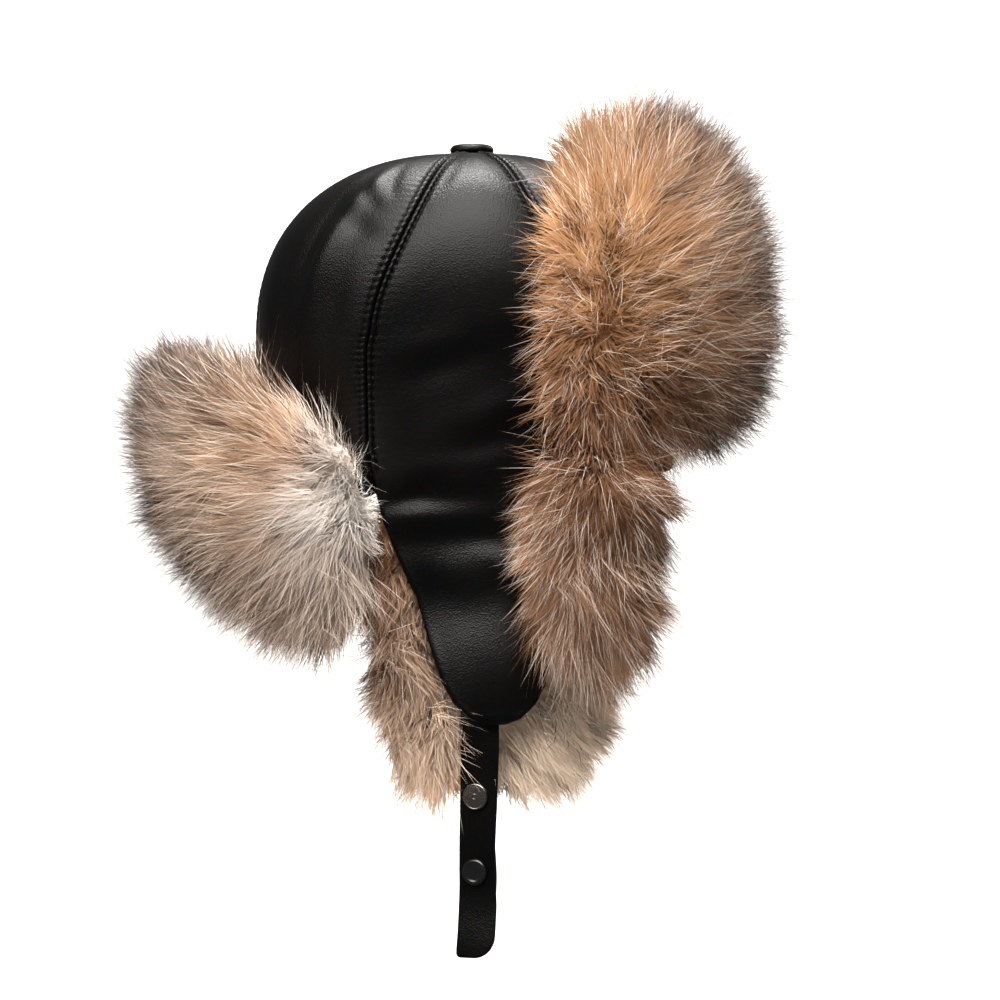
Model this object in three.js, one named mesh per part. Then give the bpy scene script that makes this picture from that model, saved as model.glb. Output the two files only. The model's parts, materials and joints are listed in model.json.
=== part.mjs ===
// An aviator hat of black leather and deep fox fur, as it sits on a head.
//
// Six leather gores meet under a covered button. The two side gores run down into the ear flaps,
// which are lined with fur and end in snap straps. A front flap and a neck flap are turned up
// with their fur outwards, and a fur strip edges the front of each ear flap.
//
// Units are millimetres. +X is the wearer's front, +Y the wearer's left and +Z up.
// The origin is the inside of the crown's top, where it rests on the head.
import * as THREE from 'three';

const leather = 3;           // padded leather wall of the crown and the ear flaps
const hide = 2;              // plain leather wall of the turned-up flaps and the straps
const gap = 0.3;             // between two pieces that touch

// The crown is half a superellipsoid on a wall. Lengths are from the middle to the outside.
const crown = { front: 105, back: 112, side: 88, height: 95, squareness: 2.3, puff: 2.5 };
crown.middle = leather - crown.height;              // height of the widest level
const crownHole = 2.6;                              // the gores stop here, under the button
const browRim = -146;                               // lower edge at the front
const napeRim = -196;                               // lower edge at the back

// Where the two seams of a side gore run: girth angles from the front. steep is 0 at the top of
// the crown and 90 at its widest level, and below that the seams go straight down.
const seams = [
  { steep: 0, temple: 70, ear: 106 },
  { steep: 42, temple: 70, ear: 106 },
  { steep: 68, temple: 65, ear: 111 },
  { steep: 90, temple: 60, ear: 118 },
];
const wallSeam = seams[seams.length - 1];

// The outline of an ear flap, from where it leaves the crown down to its round end.
const earFlap = [
  { z: -154, rear: -51.3, front: 50.8 },
  { z: -172, rear: -50.2, front: 50.0 },
  { z: -186, rear: -46.4, front: 49.0 },
  { z: -199, rear: -41.4, front: 48.0 },
  { z: -212, rear: -35.4, front: 47.0 },
  { z: -226, rear: -28.9, front: 45.0 },
  { z: -240, rear: -25.0, front: 43.0 },
  { z: -254, rear: -20.4, front: 40.6 },
  { z: -268, rear: -15.4, front: 38.0 },
  { z: -279, rear: -8.8, front: 32.6 },
  { z: -286, rear: -1.0, front: 25.4 },
  { z: -289, rear: 6.0, front: 18.5 },
];

// Soft folds of the ear flap's leather, where it turns from the crown: sunk where depth is above 0.
const folds = [
  { x: 0, z: -194, long: 42, tall: 9, depth: 3.2 },
  { x: -10, z: -180, long: 34, tall: 8, depth: -1.6 },
  { x: 8, z: -211, long: 40, tall: 10, depth: -2.0 },
  { x: -20, z: -226, long: 10, tall: 22, depth: 2.4 },
  { x: 20, z: -246, long: 26, tall: 20, depth: -1.6 },
];

// The turned-up flaps. lean is how far the free edge comes in, or out from the crown. In their
// tables aside is the girth angle from the flap's middle, low its fold and high its free edge.
const frontFlap = { centre: 0, low: browRim, rise: 122, lean: -8 };
frontFlap.edges = [
  { aside: 0, low: browRim, high: -24 },
  { aside: 30, low: -147, high: -26 },
  { aside: 43, low: -149, high: -38 },
  { aside: 50, low: -150, high: -62 },
];
const neckFlap = { centre: 180, low: napeRim, rise: 70, lean: 14 };
neckFlap.edges = [
  { aside: 0, low: napeRim - 2, high: -128 },
  { aside: 30, low: -193, high: -134 },
  { aside: 50, low: -181, high: -152 },
  { aside: 62, low: -173, high: -162 },
];

// How the fur of a turned-up flap lies: sweep is towards the flap's ends, hang is down, and seat
// is the room between its pelt and the flap.
frontFlap.hair = { length: 26, sweep: 0.9, hang: 0.15, seat: 1.6 };
neckFlap.hair = { length: 27, sweep: -0.4, hang: 0.4, seat: 0.7 };

// Undercoats of the turned-up furs. Each row is a section: its lower and upper edge, and how
// far it stands out from the flap.
const frontFur = [
  { aside: 0, low: -134, high: 9, depth: 34 },
  { aside: 20, low: -135, high: 10, depth: 34 },
  { aside: 38, low: -137, high: 7, depth: 33 },
  { aside: 52, low: -134, high: -6, depth: 28 },
  { aside: 63, low: -130, high: -28, depth: 19 },
  { aside: 70, low: -100, high: -80, depth: 5 },
];
const neckFur = [
  { aside: 0, low: -212, high: -112, depth: 42 },
  { aside: 24, low: -217, high: -117, depth: 40 },
  { aside: 40, low: -226, high: -132, depth: 35 },
  { aside: 50, low: -231, high: -148, depth: 29 },
  { aside: 57, low: -222, high: -160, depth: 19 },
  { aside: 62, low: -190, high: -182, depth: 5 },
];

// Undercoat of an ear flap's lining, which pokes out past the leather. inner is how far it
// reaches towards the cheek.
const earFur = [
  { z: -158, rear: -20, front: 20, inner: 2 },
  { z: -166, rear: -42, front: 42, inner: 9 },
  { z: -184, rear: -46, front: 46, inner: 14 },
  { z: -208, rear: -44, front: 46, inner: 16 },
  { z: -232, rear: -43, front: 48, inner: 17 },
  { z: -258, rear: -43, front: 53, inner: 17 },
  { z: -282, rear: -41, front: 53, inner: 16 },
  { z: -302, rear: -34, front: 46, inner: 13 },
  { z: -316, rear: -20, front: 32, inner: 8 },
  { z: -321, rear: -2, front: 14, inner: 2 },
];

// Undercoat of the strip that edges an ear flap's front.
const cheekFur = [
  { z: -156, rear: 56, front: 66, depth: 4 },
  { z: -163, rear: 44, front: 80, depth: 14 },
  { z: -176, rear: 38, front: 86, depth: 20 },
  { z: -200, rear: 36, front: 84, depth: 20 },
  { z: -224, rear: 38, front: 80, depth: 18 },
  { z: -240, rear: 44, front: 72, depth: 11 },
  { z: -246, rear: 52, front: 62, depth: 3 },
];

const button = { radius: 11.3, height: 5.4, edge: 2.2, shank: 1.6 };

// A strap hangs from inside its ear flap, turned a little to the rear. across is measured on the
// strap from its own line, towards its front edge. Its front corner is rounder than its rear one.
// inset is how far its line is behind the leather, and room is what the lining leaves for it.
const strap = { x: 4.2, turn: 25, end: -406.5, frontCorner: 11, rearCorner: 1.5, inset: 6.5, room: 13 };
const strapEdges = [
  { z: -272, rear: -10.2, front: 10.8 },
  { z: -302, rear: -10.3, front: 10.8 },
  { z: -330, rear: -10.5, front: 9.8 },
  { z: -362, rear: -11.2, front: 8.3 },
  { z: -380, rear: -11.2, front: 9.6 },
  { z: -395, rear: -10.8, front: 10 },
];
const snaps = [{ name: 'upper', across: -1.4, z: -325.5 }, { name: 'lower', across: -2, z: -363.5 }];
const snap = { radius: 6.8, dome: 1.9, post: 2.1, hole: 2.5, ring: 5.2, ringHeight: 2.2, mouth: 2.7 };
const stud = { radius: 2.5, neck: 1.9, height: 3.2 };

const { PI, cos, sin, sqrt, acos, exp, abs, min, max, sign } = Math;
const radians = THREE.MathUtils.degToRad;
const degrees = THREE.MathUtils.radToDeg;
const mix = THREE.MathUtils.lerp;
const point = (x, y, z) => new THREE.Vector3(x, y, z);

// The same number for the same count, so that the locks come out alike every time.
function ruffle(count) {
  const wave = sin(count * 12.9898 + 4.1) * 43758.5453;
  return wave - Math.floor(wave);
}

// A table read between its rows: rows run down or up their first column, called key.
function read(table, key, at) {
  const rising = table[table.length - 1][key] > table[0][key] ? 1 : -1;
  let row = 0;
  while (row < table.length - 2 && rising * (at - table[row + 1][key]) > 0) row++;
  const from = table[row], to = table[row + 1];
  const share = min(1, max(0, (at - from[key]) / (to[key] - from[key])));
  return Object.fromEntries(Object.keys(from).map((name) => [name, mix(from[name], to[name], share)]));
}

function meshed(points, triangles) {
  const geometry = new THREE.BufferGeometry().setFromPoints(points);
  geometry.setIndex(triangles);
  geometry.computeVertexNormals();
  return geometry;
}

// How far the leather's wall draws in below the widest level, more at the nape than elsewhere.
function wallTaper(turn, z) {
  const drop = (crown.middle - z) / 100;
  return 1 - drop * drop * (0.02 + 0.06 * max(0, -cos(turn)));
}

function foldDepth(x, z) {
  return folds.reduce((sum, fold) => {
    const along = (x - fold.x) / fold.long, across = (z - fold.z) / fold.tall;
    return sum + fold.depth * exp(-along * along - across * across);
  }, 0);
}

// A point of the crown above its widest level. steep is 0 at the top and 90 at that level.
function domePoint(turn, steep, inset) {
  const reach = sin(radians(steep)) ** (2 / crown.squareness);
  const rise = max(0, cos(radians(steep))) ** (2 / crown.squareness);
  const length = (cos(turn) < 0 ? crown.back : crown.front) - inset;
  return point(length * reach * cos(turn), (crown.side - inset) * reach * sin(turn),
    crown.middle + (crown.height - inset) * rise);
}

// A point of the wall below the widest level.
function wallPoint(turn, z, inset) {
  const taper = wallTaper(turn, z);
  const length = (cos(turn) < 0 ? crown.back : crown.front) * taper - inset;
  return point(length * cos(turn), (crown.side * taper - inset) * sin(turn), z);
}

// A closed wall between two grids of points: at(row, column, inset) gives each, with rows running
// down and columns round towards the wearer's left.
function wallSolid(rows, columns, thickness, at) {
  const points = [], triangles = [], perRow = columns + 1, perSide = (rows + 1) * perRow;
  for (const inset of [0, thickness])
    for (let row = 0; row <= rows; row++)
      for (let column = 0; column <= columns; column++) points.push(at(row, column, inset));
  const face = (a, b, c, d) => triangles.push(a, b, c, a, c, d);
  const index = (row, column) => row * perRow + column;
  for (let row = 0; row < rows; row++)
    for (let column = 0; column < columns; column++) {
      const corners = [index(row, column), index(row + 1, column), index(row + 1, column + 1), index(row, column + 1)];
      face(...corners);
      face(...corners.map((corner) => corner + perSide).reverse());
    }
  const edge = (from, to) => face(to, from, from + perSide, to + perSide);
  for (let row = 0; row < rows; row++) {
    edge(index(row, 0), index(row + 1, 0));
    edge(index(row + 1, columns), index(row, columns));
  }
  for (let column = 0; column < columns; column++) {
    edge(index(rows, column), index(rows, column + 1));
    edge(index(0, column + 1), index(0, column));
  }
  return meshed(points, triangles);
}

// Levels of a gore: the first is at the hole under the button, and the last at the widest level.
const steeps = [0, 14, 28, 42, 56, 68, 79, 90];
steeps[0] = degrees(Math.asin((crownHole / crown.side) ** (crown.squareness / 2)));

// The girth angles of each gore's two edges, from its line of the seams table.
const gores = {
  front: (line) => [0, line.temple],
  side: (line) => [line.temple, line.ear],
  back: (line) => [line.ear, 180],
};

// The girth angle of a column, with half a gap left at each seam.
function goreTurn(gore, line, share, reach) {
  const [from, to] = gores[gore](line).map(radians);
  const trim = gap / 2 / (crown.side * reach);
  return mix(from + trim, to - trim, share);
}

function domeColumn(gore, share, steep, inset) {
  const reach = sin(radians(steep)) ** (2 / crown.squareness);
  const puff = crown.puff * 4 * share * (1 - share) * sin(radians(2 * steep));
  return domePoint(goreTurn(gore, read(seams, 'steep', steep), share, reach), steep, inset - puff);
}

// A front or back gore, from the button down to the rim.
function goreSolid(gore, wallRows, columns, rimAt) {
  const domeRows = steeps.length - 1;
  return wallSolid(domeRows + wallRows, columns, leather, (row, column, inset) => {
    const share = column / columns;
    if (row <= domeRows) return domeColumn(gore, share, steeps[row], inset);
    const turn = goreTurn(gore, wallSeam, share, 1);
    return wallPoint(turn, mix(crown.middle, rimAt(degrees(turn)), (row - domeRows) / wallRows), inset);
  });
}

// The left side gore, which runs on down as the ear flap.
function earPanel(columns) {
  const domeRows = steeps.length - 1;
  const wallRows = 3;
  const rows = domeRows + wallRows + earFlap.length - 1;
  return wallSolid(rows, columns, leather, (row, column, inset) => {
    const share = column / columns;
    if (row <= domeRows) return domeColumn('side', share, steeps[row], inset);
    const belowDome = row - domeRows;
    const line = earFlap[max(0, belowDome - wallRows)];
    const z = belowDome < wallRows ? mix(crown.middle, line.z, belowDome / wallRows) : line.z;
    return earPoint(share, z, inset);
  });
}

// A point of the ear flap's leather, between its front edge at share 0 and its rear edge at 1.
function earPoint(share, z, inset) {
  const flap = read(earFlap, 'z', z);
  const edge = (x) => acos(x / ((x < 0 ? crown.back : crown.front) * wallTaper(PI / 2, z)));
  const turn = z > earFlap[0].z
    ? goreTurn('side', wallSeam, share, 1)
    : mix(edge(flap.front), edge(flap.rear), share);
  const x = crown.front * cos(turn);
  return wallPoint(turn, z, inset + foldDepth(x, z));
}

// A point on a turned-up flap, outset from the crown: it stands up straight from the fold while
// the crown curves away, or leans out as it rises.
function flapPoint(flap, turn, z, outset) {
  const share = (z - flap.low) / flap.rise;
  const base = wallPoint(turn, min(z, crown.middle), -outset - gap - max(0, flap.lean) * max(0, share));
  const lean = min(0, flap.lean) * max(0, (z - crown.middle) / (flap.low + flap.rise - crown.middle)) ** 3;
  return point(base.x + lean * cos(turn), base.y + lean * sin(turn), z);
}

function flapWall(flap, rows, columns) {
  const ends = flap.edges[flap.edges.length - 1].aside;
  return wallSolid(rows, columns, hide, (row, column, inset) => {
    const aside = mix(-ends, ends, column / columns);
    const edges = read(flap.edges, 'aside', abs(aside));
    return flapPoint(flap, radians(flap.centre + aside), mix(edges.high, edges.low, row / rows), hide - inset);
  });
}

// Fur as one solid: a closed undercoat, whose cells each stand up as a pointed lock. undercoat
// gives a point, u from end to end and v once round, and lock gives what to add to a cell's
// middle, or nothing where the fur lies against something.
function furSolid(rings, cells, undercoat, lock) {
  const points = [undercoat(0, 0)], triangles = [];
  for (let ring = 1; ring < rings; ring++)
    for (let cell = 0; cell < cells; cell++)
      points.push(undercoat(ring / rings, ((cell + (ring % 2) / 2) / cells) % 1));
  points.push(undercoat(1, 0));
  const last = points.length - 1;
  const index = (ring, cell) => (ring === 0 ? 0 : ring === rings ? last : 1 + (ring - 1) * cells + (cell % cells));
  const cellAt = (ring, cell) => {
    const skew = ring % 2;       // every other ring is turned by half a cell
    const corners = [index(ring, cell), index(ring + 1, cell), index(ring + 1, cell + 1), index(ring, cell + 1)];
    return skew ? corners : [corners[0], index(ring + 1, cell), corners[2], corners[3]];
  };
  for (let ring = 0; ring < rings; ring++)
    for (let cell = 0; cell < cells; cell++) {
      const corners = [...new Set(cellAt(ring, cell))];
      const middle = corners.reduce((sum, c) => sum.add(points[c]), point(0, 0, 0)).divideScalar(corners.length);
      const outward = points[corners[1]].clone().sub(points[corners[0]])
        .cross(points[corners[2]].clone().sub(points[corners[0]])).normalize();
      const raise = lock(middle, outward, ring * cells + cell, ring, cell);
      if (!raise) {
        triangles.push(...corners.slice(0, 3));
        if (corners.length > 3) triangles.push(corners[0], corners[2], corners[3]);
        continue;
      }
      points.push(middle.add(raise));
      corners.forEach((c, i) => triangles.push(c, corners[(i + 1) % corners.length], points.length - 1));
    }
  return meshed(points, triangles);
}

// The ring of a fur section: round where the hair is, flat where it lies against its backing.
const round = (angle, power) => sign(cos(angle)) * abs(cos(angle)) ** power;

// Fur on a turned-up flap, from its right end to its left one.
function flapFur(flap, table, rings, cells) {
  const reach = table[table.length - 1].aside;
  const undercoat = (u, v) => {
    const aside = mix(-reach, reach, u);
    const section = read(table, 'aside', abs(aside));
    const z = mix(section.low, section.high, 0.5 + 0.5 * sin(2 * PI * v));
    const out = section.depth * max(0, round(2 * PI * v, 0.75));
    return flapPoint(flap, radians(flap.centre + aside), z, hide + flap.hair.seat + out);
  };
  const lock = (middle, outward, count) => {
    const turn = Math.atan2(middle.y, middle.x);
    const away = point(cos(turn), sin(turn), 0);
    if (outward.dot(away) < -0.2) return null;
    const share = min(1, (abs(middle.y) / crown.side) ** 2);
    const toEnd = point(-sin(turn), cos(turn), 0).multiplyScalar(sign(middle.x * middle.y) * share * flap.hair.sweep);
    return outward.clone().add(toEnd).add(away.multiplyScalar(0.35)).add(point(0, 0, -flap.hair.hang))
      .normalize().multiplyScalar(flap.hair.length * (0.75 + 0.5 * ruffle(count)));
  };
  return furSolid(rings, cells, undercoat, lock);
}

// The leather's inner face at an ear flap, where its lining lies.
function flapInner(x, z) {
  const taper = wallTaper(PI / 2, z);
  const length = (x < 0 ? crown.back : crown.front) * taper;
  return (crown.side * taper - leather) * sqrt(max(0, 1 - (x / length) ** 2));
}

// Fur lining of the left ear flap, from the crown down. Beside the leather its hair goes out past
// the edge without rising, and towards the cheek it is short.
function earLining(rings, cells, hair) {
  const top = earFur[0].z, end = earFur[earFur.length - 1].z;
  const sunk = (x, z) => max(0, foldDepth(x, z - 6), foldDepth(x, z), foldDepth(x, z + 6));
  const behindStrap = (z) => strap.room * min(1, max(0, (-200 - z) / 60));
  const leatherFace = (x, z) => flapInner(x, z) - 3 * gap - sunk(x, z) - behindStrap(z);
  const undercoat = (u, v) => {
    const z = mix(top, end, u);
    const section = read(earFur, 'z', z);
    const angle = 2 * PI * v;
    const x = mix(section.rear, section.front, 0.5 + 0.5 * round(angle, 0.8));
    return point(x, leatherFace(x, z) - section.inner * (0.5 - 0.5 * round(angle - PI / 2, 0.6)), z);
  };
  const lock = (middle, outward, count) => {
    const flap = read(earFlap, 'z', middle.z);
    const behindFlap = middle.z > flapEnd && middle.x > flap.rear - 5 && middle.x < flap.front + 5;
    const underStrap = abs(middle.x - strap.x) < 20;
    if (middle.z > earFur[2].z || (outward.y > 0.4 && (behindFlap || underStrap))) return null;
    const length = hair * (outward.y < -0.4 ? 0.35 : 1) * (0.75 + 0.5 * ruffle(count));
    const tip = outward.clone().add(point(0, 0, -0.45)).normalize().multiplyScalar(length).add(middle);
    tip.y = min(tip.y, leatherFace(min(tip.x, earFlap[0].front), tip.z));
    return tip.sub(middle);
  };
  return furSolid(rings, cells, undercoat, lock);
}
const flapEnd = earFlap[earFlap.length - 1].z;

// The strip along the left ear flap's front edge. It lies flat on the leather and runs past it.
function cheekStrip(rings, cells, hair) {
  const top = cheekFur[0].z, end = cheekFur[cheekFur.length - 1].z;
  const backFace = (x, z) => flapInner(min(x, earFlap[0].front - 4), z) + leather + 5 * gap;
  const undercoat = (u, v) => {
    const z = mix(top, end, u);
    const section = read(cheekFur, 'z', z);
    const angle = 2 * PI * v;
    const x = mix(section.rear, section.front, 0.5 + 0.5 * round(angle, 0.8));
    return point(x, backFace(x, z) + section.depth * max(0, sin(angle)) ** 0.7, z);
  };
  const lock = (middle, outward, count) => {
    if (outward.y < -0.3 || outward.z > 0.6) return null;
    return outward.clone().add(point(0.2, 0.3, -0.5)).normalize().multiplyScalar(hair * (0.75 + 0.5 * ruffle(count)));
  };
  return furSolid(rings, cells, undercoat, lock);
}

// A covered button on a shank that goes through the hole between the gores.
function buttonSolid() {
  const seat = leather + gap;
  const top = seat + button.height, edge = button.edge;
  const profile = new THREE.Path();
  profile.moveTo(0, gap);
  profile.lineTo(button.shank, gap);
  profile.lineTo(button.shank, seat);
  profile.lineTo(button.radius - edge, seat);
  profile.quadraticCurveTo(button.radius, seat, button.radius, seat + edge);
  profile.quadraticCurveTo(button.radius, top - 1, button.radius - 2 * edge, top - 0.5);
  profile.quadraticCurveTo(button.radius / 2, top, 0, top);
  return new THREE.LatheGeometry(profile.getPoints(2), 20).rotateX(PI / 2);
}

// The strap lies flat, its outer face up, with its length along its own Y. Two snap holes go
// through it.
function strapSolid() {
  const { end, frontCorner, rearCorner } = strap;
  const outline = new THREE.Shape();
  outline.moveTo(strapEdges[0].rear, strapEdges[0].z);
  for (const row of strapEdges.slice(1)) outline.lineTo(row.rear, row.z);
  const last = strapEdges[strapEdges.length - 1];
  outline.lineTo(last.rear, end + rearCorner);
  outline.quadraticCurveTo(last.rear, end, last.rear + rearCorner, end);
  outline.lineTo(last.front - frontCorner, end);
  outline.quadraticCurveTo(last.front, end, last.front, last.z);
  for (const row of strapEdges.slice(0, -1).reverse()) outline.lineTo(row.front, row.z);
  for (const at of snaps) outline.holes.push(new THREE.Path().absarc(at.across, at.z, snap.hole, 0, 2 * PI));
  return new THREE.ExtrudeGeometry(outline, { depth: hide, bevelEnabled: false, curveSegments: 5 });
}

// A snap through the strap: its cap outside, and inside either a socket or a stud. The profile's
// height is 0 at the middle of the strap, and the cap is above.
function snapSolid(inside) {
  const face = hide / 2 + gap;
  const profile = new THREE.Path();
  if (inside === 'socket') {
    const mouthDepth = snap.ringHeight - 0.6;
    profile.moveTo(0, -face - snap.ringHeight + mouthDepth);
    profile.lineTo(snap.mouth, -face - snap.ringHeight + mouthDepth);
    profile.lineTo(snap.mouth, -face - snap.ringHeight);
    profile.lineTo(snap.ring, -face - snap.ringHeight);
    profile.lineTo(snap.ring + 0.8, -face);
  } else {
    profile.moveTo(0, -face - stud.height);
    profile.quadraticCurveTo(stud.radius, -face - stud.height, stud.radius, -face - stud.height + 1.2);
    profile.lineTo(stud.neck, -face - 0.9);
    profile.lineTo(snap.ring, -face - 0.7);
    profile.lineTo(snap.ring + 0.8, -face);
  }
  profile.lineTo(snap.post, -face);
  profile.lineTo(snap.post, face);
  profile.lineTo(snap.radius - 0.3, face);
  profile.quadraticCurveTo(snap.radius, face + 0.2, snap.radius, face + 0.5);
  profile.quadraticCurveTo(snap.radius * 0.7, face + snap.dome, 0, face + snap.dome);
  return new THREE.LatheGeometry(profile.getPoints(2), 16).rotateX(PI / 2);
}

const black = new THREE.MeshStandardMaterial({ color: 0x141312, roughness: 0.46, metalness: 0 });
const edging = new THREE.MeshStandardMaterial({ color: 0x1b1918, roughness: 0.6, metalness: 0 });
const fox = new THREE.MeshStandardMaterial({ color: 0xb68a62, roughness: 0.9, metalness: 0 });
const cream = new THREE.MeshStandardMaterial({ color: 0xcdb092, roughness: 0.9, metalness: 0 });
const steel = new THREE.MeshStandardMaterial({ color: 0xa8a299, roughness: 0.25, metalness: 1 });
const enamel = new THREE.MeshStandardMaterial({ color: 0x0e0e0f, roughness: 0.15, metalness: 0 });

const hat = new THREE.Group();
function add(name, geometry, material, parent = hat) {
  const mesh = new THREE.Mesh(geometry, material);
  mesh.name = name;
  parent.add(mesh);
  return mesh;
}

// A rim's height at a girth angle, level with the ear flap's first lines at the seams.
function browAt(turn) {
  return mix(browRim, earFlap[0].z, turn / wallSeam.temple);
}
function napeAt(turn) {
  return mix(earFlap[1].z, napeRim, sin(radians(90 * (turn - wallSeam.ear) / (180 - wallSeam.ear))));
}

// A strap and its snaps, in the strap's own frame: X across, Y out and Z up.
function addStrap(side, parent) {
  const hung = new THREE.Group();
  hung.position.set(strap.x, flapInner(strap.x, flapEnd) - strap.inset, 0);
  hung.rotation.set(0, 0, radians(strap.turn));
  parent.add(hung);
  const face = add('strap_' + side, strapSolid(), edging, hung);
  face.rotation.set(PI / 2, 0, 0);
  face.position.set(0, hide / 2, 0);
  for (const at of snaps) {
    const metal = at.name === 'upper' ? steel : enamel;
    const mesh = add('snap_' + at.name + '_' + side, snapSolid(side === 'right' ? 'socket' : 'stud'), metal, hung);
    mesh.rotation.set(-PI / 2, 0, 0);
    mesh.position.set(at.across, 0, at.z);
  }
}

add('top_button', buttonSolid(), black);
add('front_flap', flapWall(frontFlap, 5, 10), edging);
add('neck_flap', flapWall(neckFlap, 4, 12), edging);
add('front_flap_fur', flapFur(frontFlap, frontFur, 26, 18), fox);
add('neck_flap_fur', flapFur(neckFlap, neckFur, 24, 16), fox);
for (const side of ['left', 'right']) {
  const half = new THREE.Group();
  half.scale.set(1, side === 'left' ? 1 : -1, 1);
  hat.add(half);
  add('gore_front_' + side, goreSolid('front', 3, 6, browAt), black, half);
  add('gore_back_' + side, goreSolid('back', 5, 6, napeAt), black, half);
  add('ear_panel_' + side, earPanel(7), black, half);
  add('ear_lining_' + side, earLining(14, 18, 24), cream, half);
  add('cheek_strip_' + side, cheekStrip(9, 12, 22), fox, half);
  addStrap(side, half);
}

export default hat;
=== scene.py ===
# %% [markdown]
# # An aviator hat of black leather and fox fur
# Six leather gores make the crown, and the two side gores run on down as ear flaps. A front flap
# and a neck flap are turned up with their fur outwards. This lesson dresses the plain solids of
# the hat: fine leather with sewn seams first, then the snaps and straps, and then the fur, hair
# by hair. Lengths are in millimetres until a mesh is made, because a hat maker works in them.

# %% Load the frame
import json
import bpy
import numpy as np
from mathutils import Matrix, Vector

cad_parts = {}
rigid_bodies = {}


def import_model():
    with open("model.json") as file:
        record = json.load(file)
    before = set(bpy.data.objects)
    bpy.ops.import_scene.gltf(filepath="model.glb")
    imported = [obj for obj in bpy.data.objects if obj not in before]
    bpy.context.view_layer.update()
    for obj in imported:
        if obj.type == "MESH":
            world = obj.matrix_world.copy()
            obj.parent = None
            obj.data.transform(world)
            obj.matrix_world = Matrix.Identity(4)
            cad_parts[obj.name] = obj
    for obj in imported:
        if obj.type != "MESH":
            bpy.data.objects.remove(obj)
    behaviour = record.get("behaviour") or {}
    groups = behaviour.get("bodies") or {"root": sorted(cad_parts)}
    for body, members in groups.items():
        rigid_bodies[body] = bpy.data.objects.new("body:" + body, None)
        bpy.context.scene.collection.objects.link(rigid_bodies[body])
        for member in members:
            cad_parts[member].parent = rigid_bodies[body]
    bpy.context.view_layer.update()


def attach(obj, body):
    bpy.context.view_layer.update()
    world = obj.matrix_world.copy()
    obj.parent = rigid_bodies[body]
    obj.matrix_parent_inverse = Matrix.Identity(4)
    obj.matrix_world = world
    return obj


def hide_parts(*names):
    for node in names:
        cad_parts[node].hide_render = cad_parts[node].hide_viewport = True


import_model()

MM = 0.001

# %% [markdown]
# ## The camera, the floor and the light
# The hat is seen from its right side, level with its middle, through a long lens, so that the
# near ear flap is hardly larger than the crown. Soft light from a large lamp overhead gives
# black leather its shape: leather this dark shows little but reflections.

# %% Camera, floor and lamps
CAMERA_AT, LENS = (0.0146, -2.2, -0.1763), 152.3
FLOOR_HEIGHT = -1.1

def put(name, data):
    """A new object in the scene, at the origin, for a mesh, a lamp or a camera."""
    made = bpy.data.objects.new(name, data)
    bpy.context.collection.objects.link(made)
    return made

def studio():
    camera = put("camera", bpy.data.cameras.new("camera"))
    camera.location = CAMERA_AT
    camera.rotation_euler = (np.pi / 2, 0, 0)
    camera.data.lens = LENS
    camera.data.sensor_width = 36
    bpy.context.scene.camera = camera

    world = bpy.data.worlds.new("studio")
    world.use_nodes = True
    sky = world.node_tree.nodes["Background"].inputs
    sky["Color"].default_value = (1, 1, 1, 1)
    sky["Strength"].default_value = 0.1
    bpy.context.scene.world = world
    bpy.context.scene.view_settings.view_transform = "Standard"

    lamps = [
        {"name": "overhead", "at": (-0.1, -0.72, 1.42), "aim": (0, 0, -0.1), "size": 1.6, "watts": 76},
        {"name": "left fill", "at": (-1.3, -1.0, 1.1), "aim": (0, 0, -0.15), "size": 0.9, "watts": 18},
        {"name": "rim", "at": (1.0, 1.0, 0.9), "aim": (0, 0, -0.1), "size": 0.7, "watts": 5},
        {"name": "backdrop", "at": (0, 1.0, 2.2), "aim": (0, 3.1, -0.2), "size": 1.2, "watts": 170},
    ]
    for row in lamps:
        light = bpy.data.lights.new(row["name"], "AREA")
        light.size = row["size"]
        light.energy = row["watts"]
        light.color = (1, 0.975, 0.95)
        lamp = put(row["name"], light)
        lamp.location = row["at"]
        aim = Vector(row["aim"]) - lamp.location
        lamp.rotation_euler = aim.to_track_quat("-Z", "Y").to_euler()

def plain_floor(low):
    """A floor that curves up to a wall. Each bend is how far back, how high and half how wide it is."""
    bends = [(-4.0, low, 4), (2.0, low, 4), (2.2, low, 1.6), (2.7, low + 0.06, 1.6), (3.0, low + 0.35, 1.6),
             (3.1, low + 0.9, 1.6), (3.1, 4.0, 1.6)]
    points = [(x, y, z) for y, z, half in bends for x in (-half, half)]
    faces = [(2 * i, 2 * i + 1, 2 * i + 3, 2 * i + 2) for i in range(len(bends) - 1)]
    mesh = bpy.data.meshes.new("floor")
    mesh.from_pydata(points, [], faces)
    mesh.shade_smooth()
    floor = put("floor", mesh)
    white = bpy.data.materials.new("floor")
    white.use_nodes = True
    shader = white.node_tree.nodes["Principled BSDF"].inputs
    shader["Base Color"].default_value = (0.92, 0.92, 0.92, 1)
    shader["Roughness"].default_value = 0.9
    shader["Specular IOR Level"].default_value = 0.1
    mesh.materials.append(white)
    # black leather would mirror so large and bright a floor, and turn grey
    floor.visible_glossy = False

studio()
plain_floor(FLOOR_HEIGHT)

# %% [markdown]
# ## The sizes of the hat
# These are the sizes that the solids were cut to, in millimetres from the inside of the crown's
# top. Only the folds are moved a little, to where soft leather shows them. The crown is half a
# superellipsoid, which is an egg with fuller shoulders, set on a wall that draws in a little
# towards the nape. A girth angle runs round it, from 0 at the front over the wearer's left.

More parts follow.
